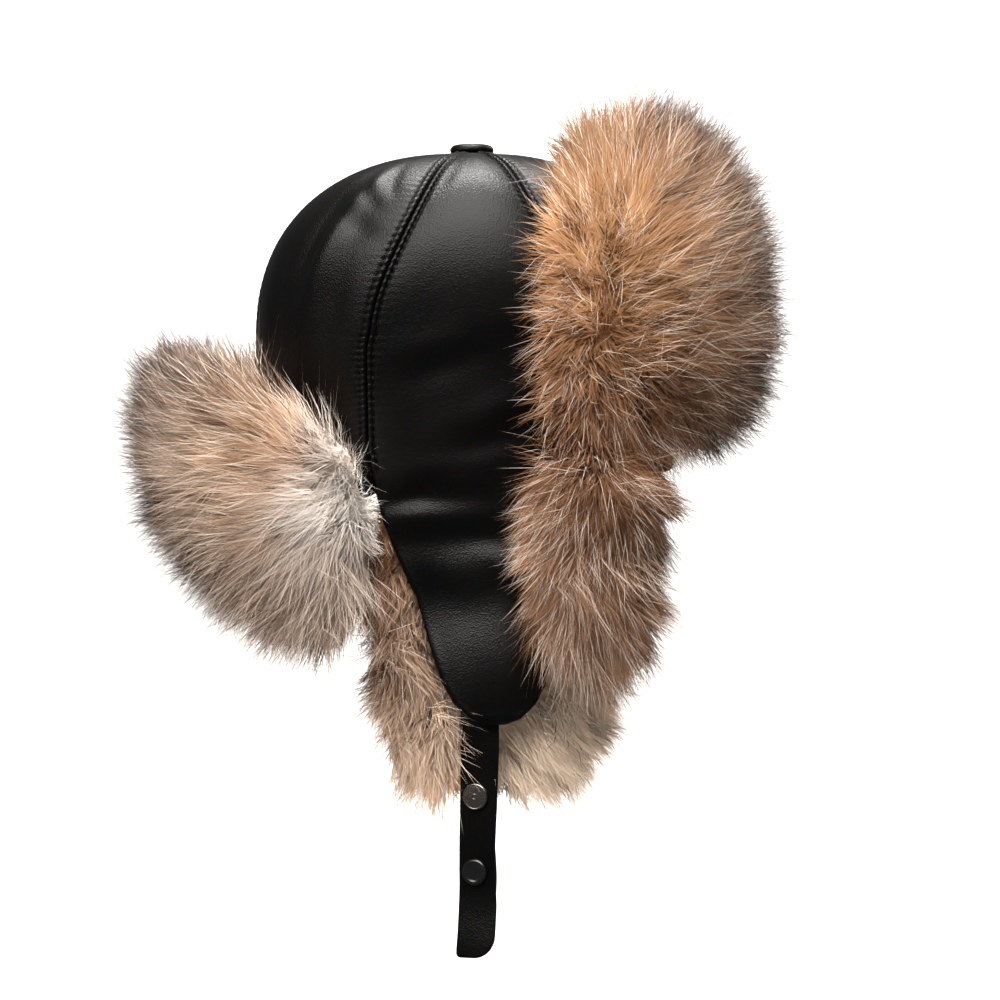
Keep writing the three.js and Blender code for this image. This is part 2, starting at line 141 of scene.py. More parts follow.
# %% Named sizes
LEATHER = 3.0                        # wall of the crown and the ear flaps, with its padding
HIDE = 2.0                           # single leather of the turned-up flaps and the straps
GAP = 0.3                            # between two pieces that are sewn together
CROWN = {"front": 105, "back": 112, "side": 88, "height": 95, "squareness": 2.3, "puff": 2.5}
MIDDLE = LEATHER - CROWN["height"]   # the dome's foot, where the wall begins
CROWN_HOLE = 2.6                     # radius of the hole for the button's shank
BROW_RIM, NAPE_RIM = -146, -196      # the crown's lower edge, front and back

def rows(names, *values):
    """A table with named columns, from one tuple for each row."""
    columns = [(name, float) for name in names.split()]
    return np.array([tuple(map(float, row)) for row in values], dtype=columns)

def between(table, key, at, column):
    """A column of a table, read at a value of its key column, which may run up or down."""
    order = np.argsort(table[key])
    return np.interp(at, table[key][order], table[column][order])

# girth angles of the seams beside the temple and behind the ear, from the top of the dome to its foot
SEAMS = rows("steep temple ear", (0, 70, 106), (42, 70, 106), (68, 65, 111), (90, 60, 118))
EAR_FLAP = rows("z rear front", (-154, -51.3, 50.8), (-172, -50.2, 50.0), (-186, -46.4, 49.0),
                (-199, -41.4, 48.0), (-212, -35.4, 47.0), (-226, -28.9, 45.0), (-240, -25.0, 43.0),
                (-254, -20.4, 40.6), (-268, -15.4, 38.0), (-279, -8.8, 32.6), (-286, -1.0, 25.4),
                (-289, 6.0, 18.5))
# folds sink by their depth, or swell where it is negative
FOLDS = rows("x z long tall depth", (-20, -175, 28, 6, 2.2), (-30, -185, 24, 6, -1.5), (6, -196, 34, 8, 2.0),
             (4, -211, 38, 11, -1.6), (-20, -228, 9, 22, 2.4), (16, -258, 28, 28, -3.6))

# %% A point of the leather's outer side, or inset mm behind it
def wall_taper(turn, z):
    """The share of its width that the wall keeps on its way down, least of all at the nape."""
    drop = np.maximum(0, MIDDLE - z) / 100
    return 1 - drop ** 2 * (0.02 + 0.06 * np.maximum(0, -np.cos(turn)))

def half_length(x):
    """From the crown's middle to its front, or to its back where x is behind the middle."""
    return np.where(x < 0, CROWN["back"], CROWN["front"])

def wall_point(turn, z, inset):
    taper = wall_taper(turn, z)
    x = (half_length(np.cos(turn)) * taper - inset) * np.cos(turn)
    y = (CROWN["side"] * taper - inset) * np.sin(turn)
    return np.stack([x, y, z + 0 * x], -1)

def dome_point(turn, steep, inset):
    power = 2 / CROWN["squareness"]
    reach = np.sin(np.radians(steep)) ** power
    rise = np.maximum(0, np.cos(np.radians(steep))) ** power
    return np.stack([(half_length(np.cos(turn)) - inset) * reach * np.cos(turn),
                     (CROWN["side"] - inset) * reach * np.sin(turn),
                     MIDDLE + (CROWN["height"] - inset) * rise], -1)

def leather_point(turn, down, inset):
    """down is the steepness in degrees on the dome, and 90 plus the millimetres below it on the wall."""
    dome = dome_point(turn, np.clip(down, 0, 90), inset)
    wall = wall_point(turn, MIDDLE - np.maximum(0, down - 90), inset)
    return np.where((down <= 90)[..., None], dome, wall)

print("crown", CROWN["front"] + CROWN["back"], "mm long,", 2 * CROWN["side"], "mm wide")

# %% [markdown]
# ## The leather
# On the real hat each seam is opened flat and topstitched on both sides. That leaves a groove, a
# raised band on each side of it, and a row of stitches that pulls the soft lambskin into small
# puckers. All of this follows the distance from the seam, so each gore is a grid whose columns
# crowd towards its seams, and a relief function lifts or sinks each point.

# %% How the leather rises and sinks beside a seam
STITCH = 4.0                         # length of one stitch
STITCH_ROW = 3.2                     # from the seam to the row of stitches

def seam_relief(off, along):
    """Millimetres outwards, at a distance off the seam and a distance along it."""
    beat = 0.5 + 0.5 * np.cos(2 * np.pi * along / STITCH)
    groove = -0.9 * np.exp(-(off / 0.3) ** 2)
    roll = (0.5 + 0.75 * beat) * np.exp(-((off - 1.6) / 1.25) ** 4)
    row = -(0.45 + 0.7 * (1 - beat)) * np.exp(-((off - STITCH_ROW) / 0.5) ** 2)
    pucker = 0.5 * (beat - 0.5) * np.exp(-np.maximum(0, off - STITCH_ROW) / 2.4) * (off > STITCH_ROW)
    return groove + roll + row + pucker

def free_edge_relief(off):
    """The turned edge of an ear flap: rounded over, with a slight ridge."""
    return -1.5 * np.clip(1 - off / 1.6, 0, 1) ** 2 + 0.35 * np.exp(-((off - 3.2) / 1.6) ** 2)

def fold_relief(x, z):
    sunk = 0
    for fold in FOLDS:
        across, up = (x - fold["x"]) / fold["long"], (z - fold["z"]) / fold["tall"]
        sunk = sunk - fold["depth"] * np.exp(-across ** 2 - up ** 2)
    return sunk

# %% [markdown]
# Soft leather is never quite smooth. A short table names its dents and swells: where each one is
# by girth angle and height, how long and tall it is, how many degrees it slants, and how far it
# goes in, or out where that is negative.

# %% Named dents and swells of the leather
# each as (girth angle, height, length, tallness, slant, depth)
DENTS = {
    "by the rear seam, first": (122, -16, 12, 3.5, 50, 1.3),
    "by the rear seam, second": (125, -25, 12, 3.5, 35, 1.4),
    "swell between them": (126, -20, 12, 3, 42, -0.9),
    "by the rear seam, third": (126, -38, 14, 5, 25, 1.8),
    "ridge down the back gore": (134, -46, 6, 26, 14, -2.4),
    "hollow beside the ridge": (141, -52, 7, 28, 12, 2.4),
    "low hollow of the back gore": (129, -78, 7, 26, 8, 2.0),
    "far hollow of the back gore": (152, -70, 8, 34, 6, 1.2),
    "front dimple of the side": (100, -14, 8, 4, -60, 0.8),
    "side, above the ear": (97, -97, 22, 10, -18, -1.3),
    "side, crease": (98, -110, 16, 8, -30, 1.4),
    "side, over the crease": (80, -130, 26, 10, -24, -1.6),
    "side, low crease": (84, -146, 20, 8, -26, 1.6),
    "side, low swell": (96, -160, 20, 9, -12, -1.4),
    "ear flap, rear crease": (108, -176, 18, 5, -32, 1.6),
    "ear flap, swell": (80, -206, 20, 7, 24, -1.4),
    "ear flap, low hollow": (92, -232, 12, 14, 30, 1.3),
}

def dent_relief(turn, z):
    sunk = 0
    for turn_at, z_at, long, tall, slant, depth in DENTS.values():
        along = np.radians(np.degrees(turn) - turn_at) * CROWN["side"]
        up, slant = z - z_at, np.radians(slant)
        a = along * np.cos(slant) + up * np.sin(slant)
        b = -along * np.sin(slant) + up * np.cos(slant)
        sunk = sunk - depth * np.exp(-(a / long) ** 2 - (b / tall) ** 2)
    return sunk

print(len(DENTS), "named dents and", len(FOLDS), "folds of the ear flap")

# %% A closed wall from an outer and an inner grid of points
def wall_mesh(name, outer, inner):
    """Both grids have rows running down and columns running towards the wearer's left."""
    tall, wide = outer.shape[:2]
    points = np.concatenate([outer.reshape(-1, 3), inner.reshape(-1, 3)]) * MM
    index = np.arange(tall * wide).reshape(tall, wide)
    a, b, c, d = index[:-1, :-1], index[1:, :-1], index[1:, 1:], index[:-1, 1:]
    outside = np.stack([a, b, c, d], -1).reshape(-1, 4)
    inside = outside[:, ::-1] + tall * wide
    loop = np.concatenate([index[:, 0], index[-1, 1:], index[-2::-1, -1], index[0, -2:0:-1]])
    following = np.roll(loop, -1)
    edges = np.stack([following, loop, loop + tall * wide, following + tall * wide], -1)
    mesh = bpy.data.meshes.new(name)
    mesh.from_pydata(points.tolist(), [], np.concatenate([outside, inside, edges]).tolist())
    mesh.shade_smooth()
    return put(name, mesh)

# %% Columns that crowd towards both edges of a panel
NEAR_EDGE = np.array([0, 0.25, 0.6, 1.1, 1.6, 2.1, 2.5, 2.85, 3.2, 3.6, 4.2, 5.4, 7.6, 11])
ON_ROW = list(NEAR_EDGE).index(STITCH_ROW)
stitch_rows = []

def columns_of(width, middle=20):
    """Distances from one edge to the other, for each width: shape (rows, columns)."""
    width = np.asarray(width, float)[:, None]
    near = NEAR_EDGE[None, :] * np.minimum(1, width * 0.4 / NEAR_EDGE[-1])
    share = (np.arange(1, middle) / middle)[None, :]
    inner = near[:, -1:] + (width - 2 * near[:, -1:]) * share
    return np.concatenate([near, inner, (width - near)[:, ::-1]], 1)

def along_the_seam(downs):
    """Millimetres from the top of the crown to each level, measured down the seam behind the ear."""
    line = leather_point(np.full(len(downs), 1.9), downs, 0)
    step = np.linalg.norm(np.diff(line, axis=0), axis=1)
    return np.concatenate([[0], np.cumsum(step)])

# %% [markdown]
# One function makes every gore. It is given the girth angles of the gore's two edges at each
# level, and works out the distance from each seam for itself. Lower than flap_from the edges of a
# side gore are free, because it is an ear flap there. rim gives the height of a lower edge that
# isn't level.

# %% A gore, or a side gore with its ear flap
MIDDLE_SEAMS_FLATTER = 0.65          # share of relief that the seams at the front and back middle lack

def gore(name, downs, edge_from, edge_to, side, flap_from=None, rim=None):
    downs = np.asarray(downs, float)
    z = MIDDLE - np.maximum(0, downs - 90)
    reach = np.sin(np.radians(np.minimum(90, downs))) ** (2 / CROWN["squareness"])
    a, b = np.radians(edge_from), np.radians(edge_to)
    left, right = leather_point(a, downs, 0), leather_point(b, downs, 0)
    halfway = leather_point((a + b) / 2, downs, 0)
    width = np.linalg.norm(halfway - left, axis=1) + np.linalg.norm(right - halfway, axis=1)
    off = columns_of(width)
    share = off / off[:, -1:]
    # half the gap between two gores, as an angle
    trim = (GAP / 2 / CROWN["side"] / reach)[:, None]
    turn = (a[:, None] + trim) * (1 - share) + (b[:, None] - trim) * share
    level = np.broadcast_to(downs[:, None], turn.shape)
    if rim is not None:
        stretch = (MIDDLE - rim(share)) / (downs[-1] - 90)
        level = np.where(level > 90, 90 + (level - 90) * stretch, level)
    height = MIDDLE - np.maximum(0, level - 90)
    along = along_the_seam(downs)[:, None]
    # the relief is weaker where the gores meet under the button
    fade = np.clip(along / 12, 0.25, 1)
    rise = CROWN["puff"] * 4 * share * (1 - share) * np.sin(np.radians(2 * np.clip(level, 0, 90)))
    rise = rise + np.clip((along - 15) / 20, 0, 1) * dent_relief(turn, leather_point(turn, level, 0)[..., 2])
    # the stitches along a gore's two edges don't line up
    seam = seam_relief(off, along) + seam_relief(width[:, None] - off, along + 1.3)
    in_the_middle = np.clip((abs(np.cos(turn)) - 0.97) / 0.02, 0, 1)
    seam = seam * (1 - MIDDLE_SEAMS_FLATTER * in_the_middle)
    if flap_from is not None:
        free = np.clip((flap_from - z) / 6, 0, 1)[:, None]
        edge = free_edge_relief(off) + free_edge_relief(width[:, None] - off)
        bottom = free_edge_relief(np.maximum(0, (z[:, None] - z[-1])))
        seam = seam * (1 - free) + (edge + bottom * (free > 0)) * free
        flat = wall_point(turn, height, 0)
        rise = rise + fold_relief(flat[..., 0], height) * (level > 90)
    outer = leather_point(turn, level, -(rise + seam * fade))
    thickness = LEATHER
    if flap_from is not None:
        thickness = LEATHER - np.where(level > 90, fold_relief(outer[..., 0], height), 0)
    inner = leather_point(turn, level, thickness)
    if side == "right":
        outer, inner = outer * [1, -1, 1], inner * [1, -1, 1]
        outer, inner = outer[:, ::-1], inner[:, ::-1]
    down, across = np.gradient(outer, axis=0), np.gradient(outer, axis=1)
    out = np.cross(down, across)
    out /= np.linalg.norm(out, axis=2, keepdims=True)
    for column in (ON_ROW, -1 - ON_ROW):
        stitch_rows.append({"along": along[:, 0], "points": outer[:, column], "out": out[:, column],
                            "until": -1000 if flap_from is None else flap_from})
    return wall_mesh(name, outer, inner)

# %% The levels of the crown, and the edges of each gore
def crown_downs(to):
    """Levels from the hole under the button to a height, finely enough for one stitch."""
    start = np.degrees(np.arcsin((CROWN_HOLE / CROWN["side"]) ** (CROWN["squareness"] / 2)))
    steeps = np.concatenate([np.linspace(start, 20, 20)[:-1], np.linspace(20, 90, 100)])
    below = np.concatenate([np.arange(1.2, 68, 1.2), np.arange(69, MIDDLE - to - 1, 2.4)])
    return np.concatenate([steeps, 90 + below, [90 + MIDDLE - to]])

def seam_turn(downs, which):
    """The seam's girth angle at each level, as a soft curve through the table."""
    near = np.clip(downs[:, None] + np.linspace(-13, 13, 27), 0, 90)
    return between(SEAMS, "steep", near, which).mean(1)

def flap_turn(z, which):
    """The girth angle of an ear flap's rear or front edge."""
    x = between(EAR_FLAP, "z", z, which)
    return np.degrees(np.arccos(x / (half_length(x) * wall_taper(np.pi / 2, z))))

def brow_at(share):
    return BROW_RIM + (EAR_FLAP["z"][0] - BROW_RIM) * share

def nape_at(share):
    return EAR_FLAP["z"][1] + (NAPE_RIM - EAR_FLAP["z"][1]) * np.sin(np.pi / 2 * share)

def make_crown():
    pieces = {}
    to_brow, to_nape, to_chin = (crown_downs(low) for low in (BROW_RIM, NAPE_RIM, EAR_FLAP["z"][-1]))
    z = MIDDLE - np.maximum(0, to_chin - 90)
    on_flap = z < EAR_FLAP["z"][0]
    flap_front = np.where(on_flap, flap_turn(z, "front"), seam_turn(to_chin, "temple"))
    flap_rear = np.where(on_flap, flap_turn(z, "rear"), seam_turn(to_chin, "ear"))
    for side in ("left", "right"):
        pieces["gore_front_" + side] = gore("leather_gore_front_" + side, to_brow, 0 * to_brow,
                                            seam_turn(to_brow, "temple"), side, rim=brow_at)
        pieces["gore_back_" + side] = gore("leather_gore_back_" + side, to_nape, seam_turn(to_nape, "ear"),
                                           0 * to_nape + 180, side, rim=nape_at)
        pieces["ear_panel_" + side] = gore("leather_ear_panel_" + side, to_chin, flap_front, flap_rear,
                                           side, flap_from=-160)
    return pieces

crown_pieces = make_crown()
print({name: len(piece.data.polygons) for name, piece in crown_pieces.items()})

# %% [markdown]
# ## Black lambskin
# Lambskin is dyed almost black and finished with a soft wax, so it is dark, satin, and covered in
# a fine pebble grain of less than a millimetre. Voronoi cells make the grain, and a slow noise
# breaks up the gloss where the skin has been handled. On the real hat the thick lining pushes the
# lower half of an ear flap outwards, so that it catches the light from above. Here the flap hangs
# straight and one broad bump leans its shading.

# %% Small helpers for building node trees
def node(tree, kind, links=None, **settings):
    """A new node, with its inputs linked to sockets or set to values, and its settings applied.

    A Mix node's two colours share their names with other inputs, so they go by number, 6 and 7.
    """
    made = tree.nodes.new(kind)
    for name, value in settings.items():
        setattr(made, name, value)
    for key, value in (links or {}).items():
        socket = made.inputs[key]
        if isinstance(value, bpy.types.NodeSocket):
            tree.links.new(value, socket)
        else:
            socket.default_value = value
    return made

def store(mesh, name, kind, values):
    layer = mesh.attributes.new(name, kind, "POINT")
    field = {"FLOAT_VECTOR": "vector", "FLOAT_COLOR": "color"}.get(kind, "value")
    layer.data.foreach_set(field, np.ascontiguousarray(values, dtype=np.float32).ravel())

def finish(name, build):
    """A material whose shader sockets are filled by build(tree, shader)."""
    material = bpy.data.materials.new(name)
    material.use_nodes = True
    tree = material.node_tree
    build(tree, tree.nodes["Principled BSDF"])
    return material

def stand_for(piece, node_name):
    """The piece takes the place of one plain solid, and rides with the hat."""
    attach(piece, "root")
    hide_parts(node_name)

# %% The leather's finish
LEAN = {"from": -0.190, "to": -0.302, "out": 0.020}

def lambskin(tree, shader):
    place = node(tree, "ShaderNodeTexCoord").outputs["Object"]
    grain = node(tree, "ShaderNodeTexVoronoi", {"Vector": place, "Scale": 1350.0}, feature="SMOOTH_F1")
    soft = node(tree, "ShaderNodeTexNoise", {"Vector": place, "Scale": 26.0, "Detail": 1.0, "Roughness": 0.5})
    gloss = node(tree, "ShaderNodeMapRange", {"Value": soft.outputs["Fac"], "From Min": 0.3, "From Max": 0.7,
                                              "To Min": 0.31, "To Max": 0.38})
    tone = node(tree, "ShaderNodeMix", {"Factor": soft.outputs["Fac"], 6: (0.001, 0.0009, 0.0009, 1),
                                        7: (0.0024, 0.002, 0.0019, 1)}, data_type="RGBA")
    pebbles = node(tree, "ShaderNodeBump", {"Strength": 0.5, "Distance": 0.0004,
                                            "Height": grain.outputs["Distance"]})
    swell = node(tree, "ShaderNodeBump", {"Strength": 0.4, "Distance": 0.003, "Height": soft.outputs["Fac"],
                                          "Normal": pebbles.outputs[0]})
    level = node(tree, "ShaderNodeSeparateXYZ", {0: place}).outputs["Z"]
    over = node(tree, "ShaderNodeMapRange", {"Value": level, "From Min": LEAN["from"],
                                              "From Max": LEAN["to"]}, interpolation_type="SMOOTHSTEP")
    lean = node(tree, "ShaderNodeBump", {"Strength": 1.0, "Distance": LEAN["out"], "Height": over.outputs[0],
                                         "Normal": swell.outputs[0]})
    tree.links.new(tone.outputs[2], shader.inputs["Base Color"])
    tree.links.new(gloss.outputs[0], shader.inputs["Roughness"])
    tree.links.new(lean.outputs[0], shader.inputs["Normal"])
    shader.inputs["Specular IOR Level"].default_value = 0.17

black_lambskin = finish("black_lambskin", lambskin)
for node_name, piece in crown_pieces.items():
    piece.data.materials.append(black_lambskin)
    stand_for(piece, node_name)

# %% [markdown]
# ## The leather of the turned-up flaps
# Behind each turned-up fur is its leather, which shows only as a dark edge against the crown. It
# follows the crown a third of a millimetre off. At the neck it leans away from the crown, and at
# the front its top leans in over it.

# %% The front flap and the neck flap
FRONT_FLAP = {"centre": 0, "low": BROW_RIM, "rise": 122, "lean": -8, "seat": 1.6}
NECK_FLAP = {"centre": 180, "low": NAPE_RIM, "rise": 70, "lean": 14, "seat": 0.7}
FLAP_EDGES = {
    "front": rows("aside low high", (0, -146, -24), (30, -147, -26), (43, -149, -38), (50, -150, -62)),
    "neck": rows("aside low high", (0, -198, -128), (30, -193, -134), (50, -181, -152), (62, -173, -162)),
}

def flap_point(flap, turn, z, outset):
    share = (z - flap["low"]) / flap["rise"]
    out = outset + GAP + max(0, flap["lean"]) * np.maximum(0, share)
    base = wall_point(turn, np.minimum(z, MIDDLE), -out)
    top = flap["low"] + flap["rise"] - MIDDLE
    lean = min(0, flap["lean"]) * np.maximum(0, (z - MIDDLE) / top) ** 3
    return np.stack([base[..., 0] + lean * np.cos(turn), base[..., 1] + lean * np.sin(turn), z], -1)

def flap_leather(name, flap, edges):
    """The wall of a flap, a little thinner along its edges. One degree of girth is about 1.9 mm."""
    aside = np.linspace(-1, 1, 81) * edges["aside"][-1]
    low, high = (np.interp(abs(aside), edges["aside"], edges[column]) for column in ("low", "high"))
    share = np.linspace(0, 1, 25)[:, None]
    z = high + (low - high) * share
    turn = np.radians(flap["centre"] + aside)[None, :] + 0 * z
    to_side = (edges["aside"][-1] - abs(aside)) * 1.9
    off = np.minimum(np.minimum(high - z, z - low), to_side)
    thin = 0.8 * np.clip(1 - off / 1.5, 0, 1) ** 2
    return wall_mesh(name, flap_point(flap, turn, z, HIDE - thin), flap_point(flap, turn, z, 0 * z))

flap_pieces = {"front_flap": flap_leather("leather_front_flap", FRONT_FLAP, FLAP_EDGES["front"]),
               "neck_flap": flap_leather("leather_neck_flap", NECK_FLAP, FLAP_EDGES["neck"])}
for node_name, piece in flap_pieces.items():
    piece.data.materials.append(black_lambskin)
    stand_for(piece, node_name)

# %% [markdown]
# ## The button, the straps and the snaps
# The covered button and the snaps are turned shapes: a profile is spun about an axis. A strap is a
# long flat bar with soft edges. All are closed bodies of rings that end in a point, so one
# function builds them. The right strap carries sockets and the left one studs.

# %% A closed body of rings
def closed_body(name, start, body, end):
    """Rings going down, each turning from X to Y, with a point above the first and below the last."""
    rings, cells = body.shape[:2]
    index = 1 + np.arange(rings * cells).reshape(rings, cells)
    turned = np.roll(index, -1, axis=1)
    quads = np.stack([index[:-1], index[1:], turned[1:], turned[:-1]], -1).reshape(-1, 4)
    top = [(0, int(a), int(b)) for a, b in zip(index[0], turned[0])]
    bottom = [(int(b), int(a), rings * cells + 1) for a, b in zip(index[-1], turned[-1])]
    points = np.concatenate([[start], body.reshape(-1, 3), [end]]) * MM
    mesh = bpy.data.meshes.new(name)
    mesh.from_pydata(points.tolist(), [], quads.tolist() + top + bottom)
    mesh.shade_smooth()
    return mesh

def spun(profile, sides):
    """Rings from a profile of (radius, height) that starts and ends on the axis, top first."""
    turn = 2 * np.pi * np.arange(sides) / sides
    inner = profile[1:-1]
    body = np.stack([inner[:, :1] * np.cos(turn), inner[:, :1] * np.sin(turn), inner[:, 1:] + 0 * turn], -1)
    return np.array([0, 0, profile[0, 1]]), body, np.array([0, 0, profile[-1, 1]])

def softened(corners, steps=6):
    """A profile through the given corners, with each one between the ends rounded off."""
    corners = np.array(corners, float)
    line = [corners[0]]
    for before, corner, after in zip(corners[:-2], corners[1:-1], corners[2:]):
        come, leave = corner + (before - corner) * 0.4, corner + (after - corner) * 0.4
        t = np.linspace(0, 1, steps)[:, None]
        line += list((1 - t) ** 2 * come + 2 * t * (1 - t) * corner + t ** 2 * leave)
    return np.array(line + [corners[-1]])

# %% The covered button
BUTTON = {"radius": 11.3, "height": 5.4, "shank": 1.6, "tucks": 23}

def make_button():
    seat, top = LEATHER + GAP, LEATHER + GAP + BUTTON["height"]
    radius, shank = BUTTON["radius"], BUTTON["shank"]
    profile = softened([(0, top), (radius * 0.62, top - 0.1), (radius - 1.2, top - 0.9), (radius, top - 2.4),
                        (radius, seat + 1.2), (radius - 1.6, seat), (shank, seat), (shank, GAP), (0, GAP)])
    start, body, end = spun(profile, 64)
    turn = np.arctan2(body[..., 1], body[..., 0])
    # the cover is gathered in small tucks under the rim
    tucked = np.clip((seat + 2.2 - body[..., 2]) / 2, 0, 1) * (np.hypot(body[..., 0], body[..., 1]) > 8)
    body[..., :2] *= (1 + 0.012 * tucked * np.sin(BUTTON["tucks"] * turn))[..., None]
    return put("covered_button", closed_body("covered_button", start, body, end))

top_button = make_button()
top_button.data.materials.append(black_lambskin)
stand_for(top_button, "top_button")

# %% A strap, hung from inside the ear flap
STRAP = {"x": 4.2, "turn": 25, "end": -406.5, "corner": 11, "rear corner": 2.5, "inset": 6.5}
STRAP_EDGES = rows("z rear front", (-272, -10.2, 10.8), (-302, -10.3, 10.8), (-330, -10.5, 9.8),
                   (-362, -11.2, 8.3), (-380, -11.2, 9.6), (-395, -10.8, 10), (-406.5, -10.8, 10))
STRAP_BEND = rows("z out", (-272, 0), (-325, 0), (-345, 0.4), (-363, -0.4), (-378, -0.5), (-406.5, 5.0))
SNAPS = {"upper": (-1.4, -325.5), "lower": (-2.0, -363.5)}

def flap_inner(x, z):
    """How far to the side the inner face of the wall is."""
    taper = wall_taper(np.pi / 2, z)
    return (CROWN["side"] * taper - LEATHER) * np.sqrt(np.maximum(0, 1 - (x / (half_length(x) * taper)) ** 2))

def strap_bend(z):
    """A soft curve through the table of how far the strap hangs out."""
    levels = z[..., None] + np.linspace(-9, 9, 13)
    return between(STRAP_BEND, "z", levels, "out").mean(-1)

def from_strap(points, bend=True):
    """From the strap's own line (across, out, up) to the left side of the hat."""
    across, out, z = np.moveaxis(points, -1, 0)
    if bend:
        out = out + strap_bend(z)
    turn = np.radians(STRAP["turn"])
    hung = flap_inner(STRAP["x"], EAR_FLAP["z"][-1]) - STRAP["inset"]
    return np.stack([STRAP["x"] + across * np.cos(turn) - out * np.sin(turn),
                     hung + across * np.sin(turn) + out * np.cos(turn), z], -1)

def signed_power(value, power):
    return np.sign(value) * np.abs(value) ** power

def strap_mesh(name):
    top, end = STRAP_EDGES["z"][0], STRAP["end"]
    z = np.concatenate([[top, top - 0.4, top - 1.2], np.arange(top - 3, end + 13, -2.0),
                        end + 12 * (1 - np.sin(np.linspace(0, np.pi / 2, 14)))])
    rear, front = between(STRAP_EDGES, "z", z, "rear"), between(STRAP_EDGES, "z", z, "front")
    for edge, radius, way in ((front, STRAP["corner"], -1), (rear, STRAP["rear corner"], 1)):
        over = np.clip((end + radius - z) / radius, 0, 1)
        edge += way * radius * (1 - np.sqrt(1 - over ** 2))
    full = np.clip((top - z) / 1.2, 0.3, 1) * np.clip((z - end) / 0.8, 0.3, 1)
    angle = 2 * np.pi * np.arange(36) / 36
    middle, half = ((rear + front) / 2)[:, None], ((front - rear) / 2)[:, None]
    across = middle + half * signed_power(np.cos(angle), 0.35)
    out = HIDE / 2 * full[:, None] * signed_power(np.sin(angle), 0.45)
    grid = np.stack([across, out, z[:, None] + 0 * across], -1)
    ends = np.array([[middle[0, 0], 0, z[0]], [middle[-1, 0], 0, z[-1]]])
    start, finish_at = from_strap(ends)
    return closed_body(name, start, from_strap(grid), finish_at)

# %% The snaps: a cap outside, and a socket or a stud inside
SNAP = {"post": 2.1, "ring": 5.2, "ring height": 2.2, "mouth": 2.7}
STUD = {"radius": 2.5, "neck": 1.9, "height": 3.2}
FACE = HIDE / 2 + GAP
CAPS = {
    "upper": [(0, 1.75), (0.9, 1.75), (1.25, 1.95), (1.6, 1.75), (4.6, 1.6), (5.7, 1.35), (6.1, 1.6),
              (6.6, 1.25), (6.8, 0.7), (6.7, 0)],
    "lower": [(0, 1.35), (2.6, 1.3), (4.0, 1.35), (4.9, 1.9), (5.8, 1.9), (6.6, 1.2), (6.8, 0.5), (6.7, 0)],
}

def snap_mesh(name, which, inside):
    cap = [(radius, FACE + height) for radius, height in CAPS[which]]
    post = [(SNAP["post"], FACE), (SNAP["post"], -FACE)]
    ring, low = SNAP["ring"], -FACE - SNAP["ring height"]
    back = [(ring + 0.8, -FACE), (ring, low), (SNAP["mouth"], low), (SNAP["mouth"], -FACE - 0.6),
            (0, -FACE - 0.6)]
    if inside == "stud":
        low = -FACE - STUD["height"]
        back = [(ring + 0.8, -FACE), (ring, -FACE - 0.7), (STUD["neck"], -FACE - 0.9),
                (STUD["radius"], low + 1.2), (STUD["radius"] - 0.6, low), (0, low)]
    start, body, end = spun(softened(cap + post + back, 4), 40)
    across, z = SNAPS[which]
    lift = float(strap_bend(np.array(z)))

    def hung(points):
        x, y, height = np.moveaxis(points, -1, 0)
        return from_strap(np.stack([across + x, height + lift, z - y], -1), bend=False)

    return closed_body(name, hung(start), hung(body), hung(end))

# %% Metal and enamel
def metal(colour, rough):
    def build(tree, shader):
        place = node(tree, "ShaderNodeTexCoord").outputs["Object"]
        wear = node(tree, "ShaderNodeTexNoise", {"Vector": place, "Scale": 900.0, "Detail": 3.0})
        gloss = node(tree, "ShaderNodeMapRange", {"Value": wear.outputs["Fac"], "To Min": rough * 0.7,
                                                  "To Max": rough * 1.4})
        tree.links.new(gloss.outputs[0], shader.inputs["Roughness"])
        shader.inputs["Base Color"].default_value = colour
        shader.inputs["Metallic"].default_value = 1.0
    return build

def enamel(tree, shader):
    place = node(tree, "ShaderNodeTexCoord").outputs["Object"]
    wear = node(tree, "ShaderNodeTexNoise", {"Vector": place, "Scale": 500.0, "Detail": 2.0})
    gloss = node(tree, "ShaderNodeMapRange", {"Value": wear.outputs["Fac"], "To Min": 0.16, "To Max": 0.3})
    tree.links.new(gloss.outputs[0], shader.inputs["Roughness"])
    shader.inputs["Base Color"].default_value = (0.006, 0.006, 0.006, 1)
    shader.inputs["Specular IOR Level"].default_value = 0.6

nickel = finish("nickel", metal((0.30, 0.275, 0.25, 1), 0.26))
black_enamel = finish("black_enamel", enamel)

# %% Hang both straps with their snaps
def mirror_mesh(mesh):
    mesh.transform([[1, 0, 0, 0], [0, -1, 0, 0], [0, 0, 1, 0], [0, 0, 0, 1]])
    mesh.flip_normals()

def hang(node_name, mesh, side, material):
    if side == "right":
        mirror_mesh(mesh)
    mesh.materials.append(material)
    stand_for(put(mesh.name, mesh), node_name)

for side in ("left", "right"):
    hang("strap_" + side, strap_mesh("leather_strap_" + side), side, black_lambskin)
    inside = "socket" if side == "right" else "stud"
    upper = snap_mesh("nickel_snap_" + side, "upper", inside)
    hang("snap_upper_" + side, upper, side, nickel)
    lower = snap_mesh("black_snap_" + side, "lower", inside)
    hang("snap_lower_" + side, lower, side, black_enamel)

# %% [markdown]
# ## The stitches
# Each side of a seam is topstitched with thick black thread, one stitch to each swell of the
# leather. Geometry Nodes copy one stitch to every point of the rows, turned along the row, and
# then make the copies real. Lengths inside a node tree are metres.

